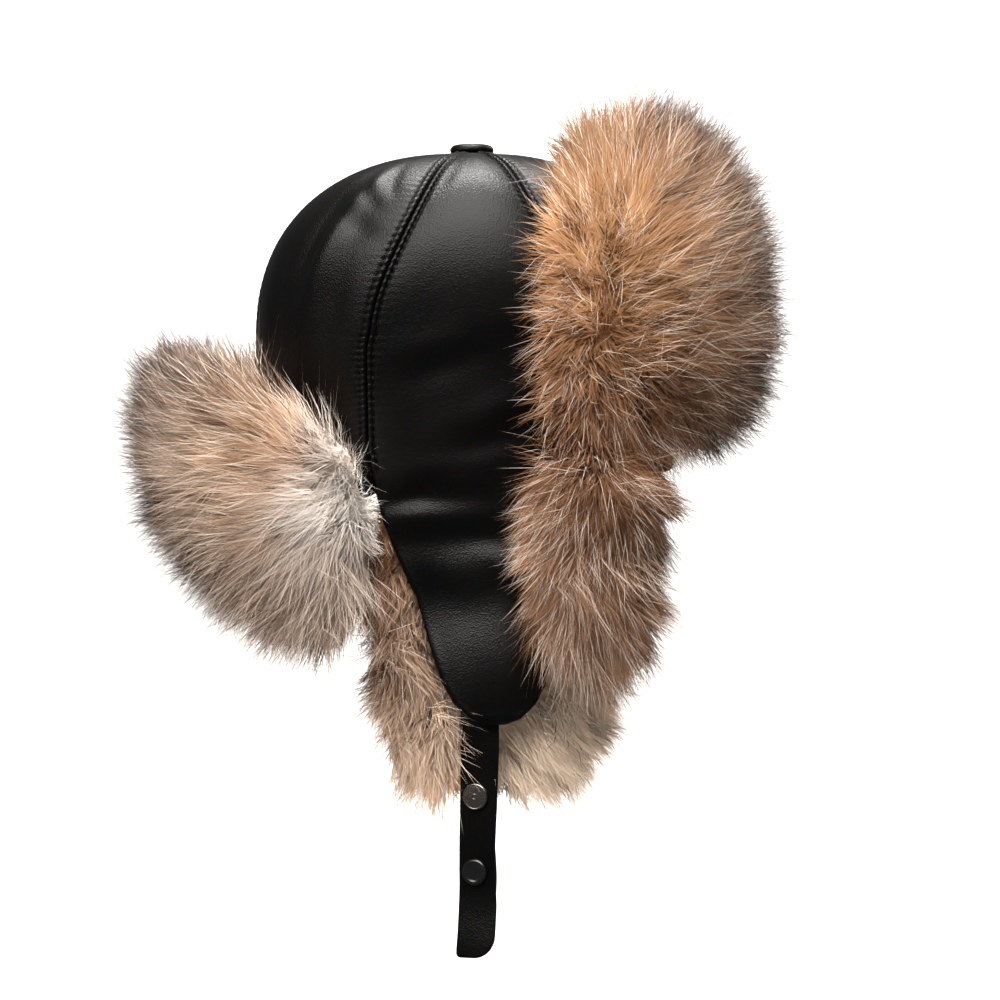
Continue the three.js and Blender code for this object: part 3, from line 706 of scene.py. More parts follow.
# %% Points of every row of stitches, with the way it runs
def stitch_points():
    """Places, directions and outward directions of all stitches.

    The first three of each row would lie under the button, and are left out.
    """
    at, way, up = [], [], []
    for row in stitch_rows:
        count = int(row["along"][-1] / STITCH)
        marks = np.arange(3, count) * STITCH
        line = np.stack([np.interp(marks, row["along"], row["points"][:, i]) for i in range(3)], -1)
        out = np.stack([np.interp(marks, row["along"], row["out"][:, i]) for i in range(3)], -1)
        kept = line[:, 2] > row["until"]
        at.append(line[kept])
        way.append(np.gradient(line, axis=0)[kept])
        up.append(out[kept])
    return [np.concatenate(values) for values in (at, way, up)]

# %% Beginning, ending and running a node tree
def new_tree(name, inputs, output):
    """A tree with named inputs, given as name and kind, and its input sockets."""
    tree = bpy.data.node_groups.new(name, "GeometryNodeTree")
    for socket, kind in inputs.items():
        tree.interface.new_socket(socket, in_out="INPUT", socket_type="NodeSocket" + kind)
    tree.interface.new_socket(output, in_out="OUTPUT", socket_type="NodeSocketGeometry")
    return tree, tree.nodes.new("NodeGroupInput").outputs

def end_tree(tree, geometry, material):
    """Shade smoothly, set the material, and send the result out."""
    smooth = node(tree, "GeometryNodeSetShadeSmooth", {"Geometry": geometry, "Shade Smooth": True})
    dressed = node(tree, "GeometryNodeSetMaterial", {"Geometry": smooth.outputs[0], "Material": material})
    tree.links.new(dressed.outputs[0], tree.nodes.new("NodeGroupOutput").inputs[0])
    return tree

def run_tree(carrier, tree, values):
    """The plain mesh that the tree makes of the carrier, with the given values for its inputs."""
    modifier = carrier.modifiers.new("nodes", "NODES")
    modifier.node_group = tree
    for item in tree.interface.items_tree:
        if item.in_out == "INPUT" and item.name in values:
            modifier[item.identifier] = values[item.name]
    mesh = bpy.data.meshes.new_from_object(carrier.evaluated_get(bpy.context.evaluated_depsgraph_get()))
    carrier.modifiers.clear()
    return mesh

# %% The node tree that sews
def stitch_tree():
    tree, given = new_tree("sew_stitches", {"Rows": "Geometry", "Stitch length": "Float",
                                            "Thread thickness": "Float", "Thread": "Material"}, "Stitches")
    points = node(tree, "GeometryNodeMeshToPoints", {"Mesh": given["Rows"]})
    way = node(tree, "GeometryNodeInputNamedAttribute", {"Name": "way"}, data_type="FLOAT_VECTOR")
    up = node(tree, "GeometryNodeInputNamedAttribute", {"Name": "up"}, data_type="FLOAT_VECTOR")
    turned = node(tree, "FunctionNodeAxesToRotation",
                  {"Primary Axis": up.outputs["Attribute"], "Secondary Axis": way.outputs["Attribute"]},
                  primary_axis="Z", secondary_axis="X")
    bead = node(tree, "GeometryNodeMeshUVSphere", {"Segments": 6, "Rings": 4, "Radius": 0.5})
    size = node(tree, "ShaderNodeCombineXYZ", {"X": given["Stitch length"], "Y": given["Thread thickness"],
                                               "Z": given["Thread thickness"]})
    copies = node(tree, "GeometryNodeInstanceOnPoints",
                  {"Points": points.outputs[0], "Instance": bead.outputs["Mesh"],
                   "Rotation": turned.outputs[0], "Scale": size.outputs[0]})
    real = node(tree, "GeometryNodeRealizeInstances", {"Geometry": copies.outputs[0]})
    return end_tree(tree, real.outputs[0], given["Thread"])

# %% Sew them
def thread(tree, shader):
    place = node(tree, "ShaderNodeTexCoord").outputs["Object"]
    twist = node(tree, "ShaderNodeTexNoise", {"Vector": place, "Scale": 1800.0, "Detail": 1.0})
    bump = node(tree, "ShaderNodeBump", {"Strength": 0.4, "Distance": 0.0002, "Height": twist.outputs["Fac"]})
    tree.links.new(bump.outputs[0], shader.inputs["Normal"])
    shader.inputs["Base Color"].default_value = (0.003, 0.003, 0.003, 1)
    shader.inputs["Roughness"].default_value = 0.6
    shader.inputs["Specular IOR Level"].default_value = 0.15

def sew():
    at, way, up = stitch_points()
    mesh = bpy.data.meshes.new("stitches")
    mesh.from_pydata((at * MM).tolist(), [], [])
    store(mesh, "way", "FLOAT_VECTOR", way)
    store(mesh, "up", "FLOAT_VECTOR", up)
    sewn = put("stitches", mesh)
    sewn.data = run_tree(sewn, stitch_tree(), {"Stitch length": 0.0031, "Thread thickness": 0.0008,
                                               "Thread": finish("black_thread", thread)})
    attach(sewn, "root")
    print(len(at), "stitches")

sew()

# %% [markdown]
# ## Fox fur
# A fox pelt is leather with two kinds of hair: a dense woolly undercoat, and longer guard hairs
# that are banded, dark at the root, orange or tan in the middle, and cream or dark brown at the
# tip. On the hat each fur is a padded roll, so each one starts as a smooth closed pelt, built from
# section tables much like its solid's, and the hairs then grow out of it. The pelt carries what
# the hairs need to know as attributes: which way they are combed, how long they are, how densely
# they stand, and what colour they have.

# %% Section tables of the pelts
FRONT_FUR = rows("aside low high depth", (0, -134, 9, 34), (20, -135, 10, 34), (38, -138, 7, 33),
                 (52, -144, 0, 30), (60, -149, -16, 25), (65, -146, -34, 17), (68.5, -116, -74, 4))
NECK_FUR = rows("aside low high depth", (0, -212, -112, 42), (24, -217, -117, 40), (40, -226, -130, 35),
                (50, -230, -141, 30), (56, -225, -146, 24), (60, -214, -152, 16), (62.5, -190, -174, 4))
EAR_FUR = rows("z rear front inner", (-158, -20, 20, 2), (-166, -42, 42, 9), (-184, -46, 46, 14),
               (-208, -44, 46, 16), (-232, -43, 48, 17), (-258, -43, 60, 17), (-282, -41, 60, 16),
               (-302, -34, 52, 13), (-316, -20, 32, 8), (-321, -2, 14, 2))
CHEEK_FUR = rows("z rear front depth", (-150, 52, 76, 4), (-156, 42, 84, 12), (-170, 37, 88, 19),
                 (-200, 36, 84, 20), (-224, 38, 80, 18), (-240, 44, 72, 11), (-246, 52, 62, 3))

# %% Where each pelt lies: points for u from end to end and v once round
PELT_SHARE = 0.8                     # a pelt is flatter than the solid, which leaves room for hair

def flap_pelt(flap, table):
    def at(u, v):
        aside = (2 * u - 1) * table["aside"][-1]
        angle = 2 * np.pi * v
        low, high = (np.interp(abs(aside), table["aside"], table[name]) for name in ("low", "high"))
        depth = np.interp(abs(aside), table["aside"], table["depth"]) * PELT_SHARE
        z = low + (high - low) * (0.5 + 0.5 * np.sin(angle))
        out = depth * np.maximum(0, signed_power(np.cos(angle), 0.75))
        return flap_point(flap, np.radians(flap["centre"] + aside), z, HIDE + flap["seat"] + out)
    return at

def ear_pelt(u, v):
    z = EAR_FUR["z"][0] + (EAR_FUR["z"][-1] - EAR_FUR["z"][0]) * u
    rear, front, inner = (between(EAR_FUR, "z", z, name) for name in ("rear", "front", "inner"))
    angle = 2 * np.pi * v
    x = rear + (front - rear) * (0.5 + 0.5 * signed_power(np.cos(angle), 0.8))
    # the pelt stays clear of folds that sink inwards, a little above and below it too
    sunk = np.maximum(0, -np.minimum.reduce([fold_relief(x, z + near) for near in (-6, 0, 6)]))
    # lower down it draws in, which leaves room for the strap
    face = flap_inner(x, z) - 3 * GAP - sunk - 13 * np.clip((-200 - z) / 60, 0, 1)
    y = face - inner * (0.5 - 0.5 * signed_power(np.sin(angle), 0.6))
    return np.stack([x, y, z], -1)

def cheek_pelt(u, v):
    z = CHEEK_FUR["z"][0] + (CHEEK_FUR["z"][-1] - CHEEK_FUR["z"][0]) * u
    rear, front, depth = (between(CHEEK_FUR, "z", z, name) for name in ("rear", "front", "depth"))
    angle = 2 * np.pi * v
    x = rear + (front - rear) * (0.5 + 0.5 * signed_power(np.cos(angle), 0.8))
    back = flap_inner(np.minimum(x, EAR_FLAP["front"][0] - 4), z) + LEATHER + 5 * GAP
    y = back + depth * 0.85 * np.maximum(0, np.sin(angle)) ** 0.7
    return np.stack([x, y, z], -1)

# %% [markdown]
# Hair lies the way it is combed, and that way drifts over the pelt: a row gives the way at one
# place on the left side, how far from there it counts, and how much longer than usual the hair is.
# The places between take a blend of the nearest rows. The colour drifts in the same manner from
# patch to patch: frost is the share of hairs with a pale tip, and sable the share with a dark one.
# pile is the usual length of the hair in millimetres, and the other number of a coat says how dark its
# roots are: partly the dark root band of fox hair, and partly painted shade down in the coat.

# %% How the hairs lie on each fur
def stroke(at, reach, way, long=1.0):
    """Around the place at, the hair is combed this way, and is long times its usual length."""
    return {"at": at, "reach": reach, "way": way, "long": long}

LIES = {
    "front": [
        stroke((42, 100, 0), 28, (-1.0, 0, 0.8)),
        stroke((74, 95, 14), 28, (-0.1, 0, 1.1)),
        stroke((112, 75, 5), 30, (0.5, 0, 0.9)),
        stroke((38, 100, -35), 24, (-0.8, 0.1, 0.5), 1.2),
        stroke((72, 105, -32), 22, (0.1, 0.1, 0.8)),
        stroke((66, 108, -64), 16, (0.4, 0.2, 0.2)),
        stroke((38, 100, -80), 26, (-0.9, 0.1, 0), 1.3),
        stroke((92, 98, -70), 26, (0.9, 0.1, 0.1)),
        stroke((64, 108, -104), 16, (0.4, 0.2, -0.4)),
        stroke((92, 98, -108), 26, (0.8, 0.1, -0.3)),
        stroke((36, 100, -120), 28, (-0.9, 0.1, -0.4), 1.4),
        stroke((62, 104, -142), 26, (0, 0.3, -1.2), 1.35),
        stroke((92, 90, -142), 28, (0.3, 0, -1.1)),
        stroke((130, 70, -45), 32, (1.0, 0, 0.35)),
        stroke((132, 70, -95), 32, (1.0, 0, -0.15)),
        stroke((126, 70, -138), 30, (0.8, 0, -0.8)),
        stroke((165, 0, -20), 50, (0.4, 0, 0.9)),
        stroke((170, 0, -90), 50, (0.7, 0, -0.4)),
    ],
    "neck": [
        stroke((-36, 84, -180), 22, (-0.6, 0.5, -0.3)),
        stroke((-54, 95, -150), 22, (-0.3, 0.1, 0.6)),
        stroke((-50, 95, -204), 26, (-0.35, 0.1, -1.1), 1.35),
        stroke((-85, 100, -134), 30, (-1.0, 0, 0.5)),
        stroke((-88, 100, -176), 30, (-1.2, 0, -0.1)),
        stroke((-80, 95, -222), 30, (-0.3, 0, -1.2), 1.45),
        stroke((-112, 82, -114), 22, (0.2, 0, 1.3), 2.1),
        stroke((-140, 66, -120), 22, (-0.6, 0, 0.7), 0.4),
        stroke((-132, 80, -170), 34, (-1.2, 0, 0.1)),
        stroke((-120, 80, -222), 34, (-0.7, 0, -1.0), 1.2),
        stroke((-160, 30, -130), 44, (-0.8, 0, 0.7)),
        stroke((-172, 0, -172), 44, (-1.0, 0, 0)),
        stroke((-150, 30, -222), 44, (-0.7, 0, -0.8)),
    ],
    "ear": [
        stroke((-46, 72, -186), 26, (-0.7, 0.1, -0.8)),
        stroke((-48, 72, -240), 28, (-0.4, 0.2, -1.0)),
        stroke((-32, 66, -285), 26, (0.15, 0.3, -1.0)),
        stroke((-8, 62, -300), 20, (-0.2, 0.2, -1.0)),
        stroke((-14, 78, -304), 9, (1.0, 0.8, -0.35), 0.9),
        stroke((24, 62, -305), 24, (0.7, 0.1, -0.9)),
        stroke((48, 70, -280), 28, (1.0, 0.1, -0.7)),
        stroke((52, 70, -240), 28, (0.8, 0, -0.9)),
        stroke((0, 30, -240), 60, (0, -0.3, -1.0)),
    ],
    "cheek": [
        stroke((42, 100, -160), 22, (-0.8, 0.1, -0.6), 1.35),
        stroke((62, 100, -158), 22, (0, 0.4, -0.9)),
        stroke((86, 92, -165), 22, (0.6, 0, -1.0)),
        stroke((40, 100, -210), 22, (-0.8, 0.1, -0.8), 1.3),
        stroke((62, 100, -205), 22, (0.05, 0.1, -1.2)),
        stroke((84, 92, -210), 24, (0.45, 0, -1.1)),
        stroke((62, 92, -242), 22, (0.6, 0, -1.3)),
    ],
}
# the second number darkens the roots: the dark root of fox hair, and painted shade down in the coat
COATS = {
    "front": {"pile": 35, "deep": 0.4},
    "neck": {"pile": 35, "deep": 0.4},
    "ear": {"pile": 30, "deep": 0.12},
    "cheek": {"pile": 30, "deep": 0.5},
}

# %% The colours of each fur
GREY_BROWN = (0.22, 0.15, 0.12)

def patch(at, reach, colour, frost, sable):
    """Around the place at, the hair has this colour and these shares of pale and of dark tips."""
    return {"at": at, "reach": reach, "colour": colour, "frost": frost, "sable": sable}

PATCHES = {
    "front": [
        patch((58, 95, 8), 40, (0.20, 0.10, 0.048), 0.16, 0.3),
        patch((75, 105, -40), 40, (0.54, 0.28, 0.125), 0.24, 0.02),
        patch((50, 105, -85), 30, (0.54, 0.26, 0.115), 0.3, 0.03),
        patch((60, 105, -125), 36, (0.34, 0.16, 0.075), 0.25, 0.05),
        patch((95, 95, -90), 34, (0.44, 0.22, 0.10), 0.25, 0.05),
        patch((118, 75, -20), 36, (0.40, 0.22, 0.125), 0.34, 0.12),
        patch((130, 70, -70), 36, (0.38, 0.21, 0.12), 0.34, 0.12),
        patch((118, 75, -130), 36, (0.20, 0.10, 0.055), 0.25, 0.4),
        patch((135, 0, 10), 50, GREY_BROWN, 0.12, 0.85),
        patch((168, 0, -50), 55, GREY_BROWN, 0.12, 0.9),
        patch((160, 0, -120), 50, GREY_BROWN, 0.2, 0.7),
    ],
    "neck": [
        patch((-58, 96, -144), 18, (1.0, 0.92, 0.83), 0.1, 0.0),
        patch((-50, 96, -170), 26, (1.0, 0.94, 0.87), 0.0, 0.0),
        patch((-60, 98, -204), 18, (0.62, 0.49, 0.40), 0.5, 0.0),
        patch((-80, 100, -220), 26, (0.36, 0.25, 0.185), 0.4, 0.12),
        patch((-84, 100, -158), 15, (0.44, 0.24, 0.13), 0.3, 0.02),
        patch((-96, 98, -132), 24, (0.34, 0.195, 0.11), 0.3, 0.04),
        patch((-116, 90, -152), 28, (0.58, 0.355, 0.21), 0.32, 0.0),
        patch((-112, 90, -184), 22, (0.52, 0.34, 0.225), 0.32, 0.02),
        patch((-116, 78, -114), 36, (0.07, 0.042, 0.03), 0.2, 0.5),
        patch((-150, 56, -116), 26, (0.15, 0.10, 0.08), 0.25, 0.4),
        patch((-146, 60, -152), 30, (0.50, 0.35, 0.26), 0.35, 0.2),
        patch((-128, 80, -206), 28, (0.32, 0.21, 0.15), 0.3, 0.15),
        patch((-165, 0, -130), 50, GREY_BROWN, 0.2, 0.85),
        patch((-165, 0, -200), 50, GREY_BROWN, 0.2, 0.85),
    ],
    "ear": [
        patch((-50, 78, -198), 36, (0.25, 0.10, 0.036), 0.06, 0.1),
        patch((-34, 78, -254), 34, (0.25, 0.105, 0.04), 0.08, 0.05),
        patch((-62, 70, -232), 22, (0.28, 0.16, 0.10), 0.3, 0.1),
        patch((-34, 72, -298), 34, (0.90, 0.65, 0.45), 0.35, 0.0),
        patch((40, 72, -285), 44, (1.0, 0.82, 0.64), 0.14, 0.0),
        patch((62, 72, -255), 26, (0.86, 0.64, 0.47), 0.35, 0.03),
        patch((0, 30, -240), 60, (0.74, 0.56, 0.42), 0.4, 0.0),
    ],
    "cheek": [
        patch((60, 98, -160), 30, (0.30, 0.135, 0.06), 0.22, 0.05),
        patch((44, 98, -200), 28, (0.40, 0.195, 0.095), 0.28, 0.03),
        patch((64, 98, -210), 28, (0.34, 0.17, 0.085), 0.28, 0.05),
        patch((88, 88, -190), 30, (0.14, 0.075, 0.045), 0.2, 0.3),
        patch((60, 92, -244), 22, (0.38, 0.22, 0.135), 0.3, 0.05),
    ],
}

# %% A pelt, with its attributes
def pelt_mesh(name, at, rings, cells):
    u = np.arange(1, rings)[:, None] / rings
    v = np.arange(cells)[None, :] / cells
    u, v = np.broadcast_arrays(u, v)
    end = np.ones((1, 1))
    return closed_body(name, at(0 * end, 0 * end)[0, 0], at(u, v), at(end, 0 * end)[0, 0])

def read_out(data, field, wide):
    """A field of a mesh's vertices or of an attribute, as an array with that many columns."""
    flat = np.empty(len(data) * wide, dtype=np.float32)
    data.foreach_get(field, flat)
    return flat.reshape(-1, wide)

def shares(points, table):
    """How much each row of a table counts at each point of the left side."""
    at = np.array([row["at"] for row in table], float)
    reach = np.array([row["reach"] for row in table], float)
    gap = np.linalg.norm(points[:, None, :] - at[None], axis=2)
    share = np.exp(-1.5 * (gap / reach[None]) ** 2) + 1e-9
    return share / share.sum(1, keepdims=True)

def blended(share, table, name):
    """A column of the table at each point, from what each row counts there."""
    return share @ np.array([row[name] for row in table], float)

def facing_out(points, normals, coat):
    """The way a coat as a whole faces: mostly away from the crown, and a little up to the light."""
    turn = np.arctan2(points[:, 1] / CROWN["side"], points[:, 0] / CROWN["front"])
    away = np.stack([np.cos(turn), np.sin(turn), 0 * turn], 1)
    if coat in ("ear", "cheek"):
        away = np.stack([0 * turn, np.sign(points[:, 1]), 0 * turn], 1)
    upwards = 0.5 if coat == "ear" else 0.28
    return normals * (0.75, 0.75, 0.5) + away * 0.45 + (0, 0, upwards)

def groom(mesh, coat, growing):
    """growing(points, normals) gives how densely the hair stands, 0 to 1, and how long it is."""
    points = read_out(mesh.vertices, "co", 3) / MM
    normals = read_out(mesh.vertices, "normal", 3)
    side = np.where(points[:, 1] < 0, -1.0, 1.0)
    folded = points.copy()
    folded[:, 1] *= side
    strokes, patches = LIES[coat], PATCHES[coat]
    lie, share = shares(folded, strokes), shares(folded, patches)
    comb = blended(lie, strokes, "way")
    comb[:, 1] *= side * np.clip(0.6 + normals[:, 1] * side, 0, 1)
    comb -= normals * np.sum(comb * normals, axis=1, keepdims=True) * 0.6
    thick, length = growing(points, normals)
    length = length * blended(lie, strokes, "long")
    colour = blended(share, patches, "colour")
    store(mesh, "comb", "FLOAT_VECTOR", comb)
    store(mesh, "soft", "FLOAT_VECTOR", facing_out(points, normals, coat))
    store(mesh, "thick", "FLOAT", thick)
    store(mesh, "pile", "FLOAT", length * COATS[coat]["pile"] * MM)
    store(mesh, "coat", "FLOAT_COLOR", np.concatenate([colour, np.ones((len(colour), 1))], 1))
    store(mesh, "frost", "FLOAT", blended(share, patches, "frost"))
    store(mesh, "sable", "FLOAT", blended(share, patches, "sable"))
    # how dark the roots are: their own colour, and painted shade down in the coat
    store(mesh, "deep", "FLOAT", np.full(len(points), COATS[coat]["deep"]))

# %% [markdown]
# ### Growing the hair
# Fur is two coats in one: short soft underfur, and longer, stiffer guard hairs that stand out of
# it. Each kind of hair is drawn once as a narrow blade, and Geometry Nodes scatter the roots, copy
# the blade to each root and bend it. A hair leaves the skin along the normal and leans over to its
# combed direction. The roots are sorted into tufts by the nearest of a sparser set of points, and
# the tips draw in towards their tuft, because that clumping is what tells fur from bristle.

# %% One blade of each kind, as (along, across) points
def blade(name, stiff, outline, faces):
    """The tree places each point by its two attributes, so the blade's own size doesn't matter."""
    mesh = bpy.data.meshes.new(name)
    mesh.from_pydata([(across * 0.001, along * 0.01, 0) for along, across in outline], [], faces)
    store(mesh, "along", "FLOAT", [along for along, across in outline])
    store(mesh, "across", "FLOAT", [across for along, across in outline])
    store(mesh, "stiff", "FLOAT", [stiff] * len(outline))
    return put(name, mesh)

underfur_blade = blade("underfur", 0, [(0, 0), (0.38, 1), (1, 0), (0.38, -1)], [(0, 1, 3), (1, 2, 3)])
guard_blade = blade("guard hair", 1, [(0, -0.7), (0, 0.7), (0.55, 1), (1, 0), (0.55, -1)],
                    [(0, 1, 2, 4), (4, 2, 3)])

# %% The node tree that grows a coat of hair
def hair_tree():
    tree, given = new_tree("grow_hair", {
        "Pelt": "Geometry", "Blade": "Object", "Hairs per square metre": "Float", "Length": "Float",
        "Tuft spacing": "Float", "Clumping": "Float", "Wave": "Float", "Tuft spread": "Float",
        "Stray": "Float", "Curl": "Float", "Hair width": "Float", "Seed": "Int"}, "Hair")

    def read(name, kind="FLOAT"):
        found = node(tree, "GeometryNodeInputNamedAttribute", {"Name": name}, data_type=kind)
        return found.outputs["Attribute"]

    def keep(geometry, name, value, kind="FLOAT"):
        stored = node(tree, "GeometryNodeStoreNamedAttribute",
                      {"Geometry": geometry, "Name": name, "Value": value}, data_type=kind, domain="POINT")
        return stored.outputs["Geometry"]

    def math(operation, a, b=0.0):
        return node(tree, "ShaderNodeMath", {0: a, 1: b}, operation=operation).outputs[0]

    def vector(operation, a, b=(0, 0, 0)):
        made = node(tree, "ShaderNodeVectorMath", {0: a, 1: b}, operation=operation)
        return made.outputs["Vector"]

    def scaled(a, factor):
        made = node(tree, "ShaderNodeVectorMath", {0: a, "Scale": factor}, operation="SCALE")
        return made.outputs["Vector"]

    def chance_of(kind, low, high, shift, **identity):
        links = {"Min": low, "Max": high, "Seed": math("ADD", given["Seed"], shift)} | identity
        return node(tree, "FunctionNodeRandomValue", links, data_type=kind).outputs

    def any_way(shift, **identity):
        return chance_of("FLOAT_VECTOR", (-1, -1, -1), (1, 1, 1), shift, **identity)[0]

    position = node(tree, "GeometryNodeInputPosition").outputs[0]
    density = math("MULTIPLY", read("thick"), given["Hairs per square metre"])
    roots = node(tree, "GeometryNodeDistributePointsOnFaces",
                 {"Mesh": given["Pelt"], "Density": density, "Seed": given["Seed"]},
                 distribute_method="RANDOM")
    tufts = node(tree, "GeometryNodeDistributePointsOnFaces",
                 {"Mesh": given["Pelt"], "Distance Min": given["Tuft spacing"], "Density Max": 60000.0,
                  "Seed": 7}, distribute_method="POISSON").outputs["Points"]
    nearest = node(tree, "GeometryNodeSampleNearest", {"Geometry": tufts, "Sample Position": position})
    nearest = nearest.outputs["Index"]
    middle = node(tree, "GeometryNodeSampleIndex", {"Geometry": tufts, "Value": position, "Index": nearest},
                  data_type="FLOAT_VECTOR").outputs[0]
    wave = node(tree, "ShaderNodeTexNoise", {"Vector": position, "Scale": 34.0, "Detail": 1.0})
    swirl = vector("SUBTRACT", wave.outputs["Color"], (0.5, 0.5, 0.5))
    combed = vector("ADD", read("comb", "FLOAT_VECTOR"), scaled(swirl, given["Wave"]))
    points = keep(roots.outputs["Points"], "rise", roots.outputs["Normal"], "FLOAT_VECTOR")
    points = keep(points, "lay", combed, "FLOAT_VECTOR")
    points = keep(points, "gather", vector("SUBTRACT", middle, position), "FLOAT_VECTOR")
    points = keep(points, "tuft", any_way(1.0, ID=nearest), "FLOAT_VECTOR")
    points = keep(points, "stray", any_way(2.0), "FLOAT_VECTOR")
    points = keep(points, "root_at", position, "FLOAT_VECTOR")
    points = keep(points, "chance", chance_of("FLOAT", 0.0, 1.0, 3.0)[1])
    hair = node(tree, "GeometryNodeObjectInfo", {"Object": given["Blade"]}).outputs["Geometry"]
    copies = node(tree, "GeometryNodeInstanceOnPoints", {"Points": points, "Instance": hair})
    hairs = node(tree, "GeometryNodeRealizeInstances", {"Geometry": copies.outputs[0]}).outputs[0]

    rise, comb, tuft, stray = (read(name, "FLOAT_VECTOR") for name in ("rise", "lay", "tuft", "stray"))
    along, across, chance = read("along"), read("across"), read("chance")
    loose = scaled(stray, given["Stray"])
    curl = scaled(vector("CROSS_PRODUCT", stray, rise), given["Curl"])
    tufted = scaled(tuft, given["Tuft spread"])
    start = vector("ADD", vector("ADD", rise, scaled(comb, 0.5)), vector("ADD", tufted, loose))
    bend = vector("ADD", vector("ADD", scaled(comb, 1.1), tufted), curl)
    heading = vector("NORMALIZE", vector("ADD", start, scaled(bend, along)))
    uneven = math("ADD", 0.56, math("MULTIPLY", math("POWER", chance, 1.8), 0.64))
    length = math("MULTIPLY", math("MULTIPLY", read("pile"), given["Length"]), uneven)
    spine = vector("ADD", read("root_at", "FLOAT_VECTOR"), scaled(heading, math("MULTIPLY", length, along)))
    drawn = math("MULTIPLY", given["Clumping"], math("POWER", along, 1.4))
    spine = vector("ADD", spine, scaled(read("gather", "FLOAT_VECTOR"), drawn))
    facing = vector("ADD", rise, scaled(stray, 0.6))
    side = vector("NORMALIZE", vector("CROSS_PRODUCT", heading, facing))
    half = math("MULTIPLY", given["Hair width"], 0.5)
    placed = vector("ADD", spine, scaled(side, math("MULTIPLY", across, half)))
    bent = node(tree, "GeometryNodeSetPosition", {"Geometry": hairs, "Position": placed}).outputs[0]
    soft = vector("ADD", read("soft", "FLOAT_VECTOR"), vector("ADD", scaled(tuft, 0.35), scaled(stray, 0.3)))
    bent = keep(bent, "soft", soft, "FLOAT_VECTOR")
    return end_tree(tree, bent, fox_fur)

# %% Grow the two coats of a fur, and make one plain mesh of pelt and hair
ANY_HAIR = {"Clumping": 0.45, "Wave": 1.5, "Tuft spread": 0.42}
UNDERFUR = ANY_HAIR | {"Length": 0.76, "Tuft spacing": 0.007, "Stray": 0.24, "Curl": 0.4,
                       "Hair width": 0.0007}
GUARD = ANY_HAIR | {"Length": 1.2, "Tuft spacing": 0.009, "Stray": 0.26, "Curl": 0.8,
                    "Hair width": 0.00024}

def coat_of_hair(pelt, blade_used, hairs, area, settings, seed):
    carrier = put("coat", pelt)
    mesh = run_tree(carrier, grow_hair, settings | {"Blade": blade_used, "Seed": seed,
                                                    "Hairs per square metre": hairs / area})
    bpy.data.objects.remove(carrier)
    return mesh

def soften(mesh):
    """Light scatters from hair to hair, so a coat is shaded as one soft surface, not blade by blade."""
    normals = read_out(mesh.attributes["soft"].data, "vector", 3)
    normals /= np.maximum(1e-6, np.linalg.norm(normals, axis=1, keepdims=True))
    mesh.normals_split_custom_set_from_vertices(normals)

def triangles(meshes):
    return sum(len(face.vertices) - 2 for mesh in meshes for face in mesh.polygons)

def grown(name, pelt, underfur, guard, seed):
    """underfur and guard are how many hairs of each kind the pelt's thick attribute spreads out."""
    thick = read_out(pelt.attributes["thick"].data, "value", 1)[:, 0]
    area = sum(face.area * thick[list(face.vertices)].mean() for face in pelt.polygons)
    coats = [coat_of_hair(pelt, underfur_blade, underfur, area, UNDERFUR, seed),
             coat_of_hair(pelt, guard_blade, guard, area, GUARD, seed + 50)]
    pelt.materials.append(fox_fur)
    parts = [put(name, mesh) for mesh in [pelt] + coats]
    with bpy.context.temp_override(active_object=parts[0], selected_editable_objects=parts):
        bpy.ops.object.join()
    parts[0].name = name
    soften(parts[0].data)
    print(name, triangles([parts[0].data]), "triangles")
    return parts[0]

# %% [markdown]
# ### The colour of a hair
# The pelt's colour is that of the middle of a hair. Below it the root is darker and browner: fox
# hair's own dark root, and also painted shade down in the coat, on the lower hairs and the bare pelt.
# Above it some hairs turn cream, and some end in dark brown, which shows most along the outline. Each
# hair carries one chance number, and two more are drawn from it for the cream and the dark tips.

# %% The fur's finish
# the roots' darker, browner tint, which also paints the shade down in the coat and on the bare pelt
ROOT_AND_SHADE_TINT = (0.50, 0.38, 0.31, 1)
CREAM = (0.88, 0.74, 0.62, 1)
DARK_BROWN = (0.05, 0.03, 0.025, 1)

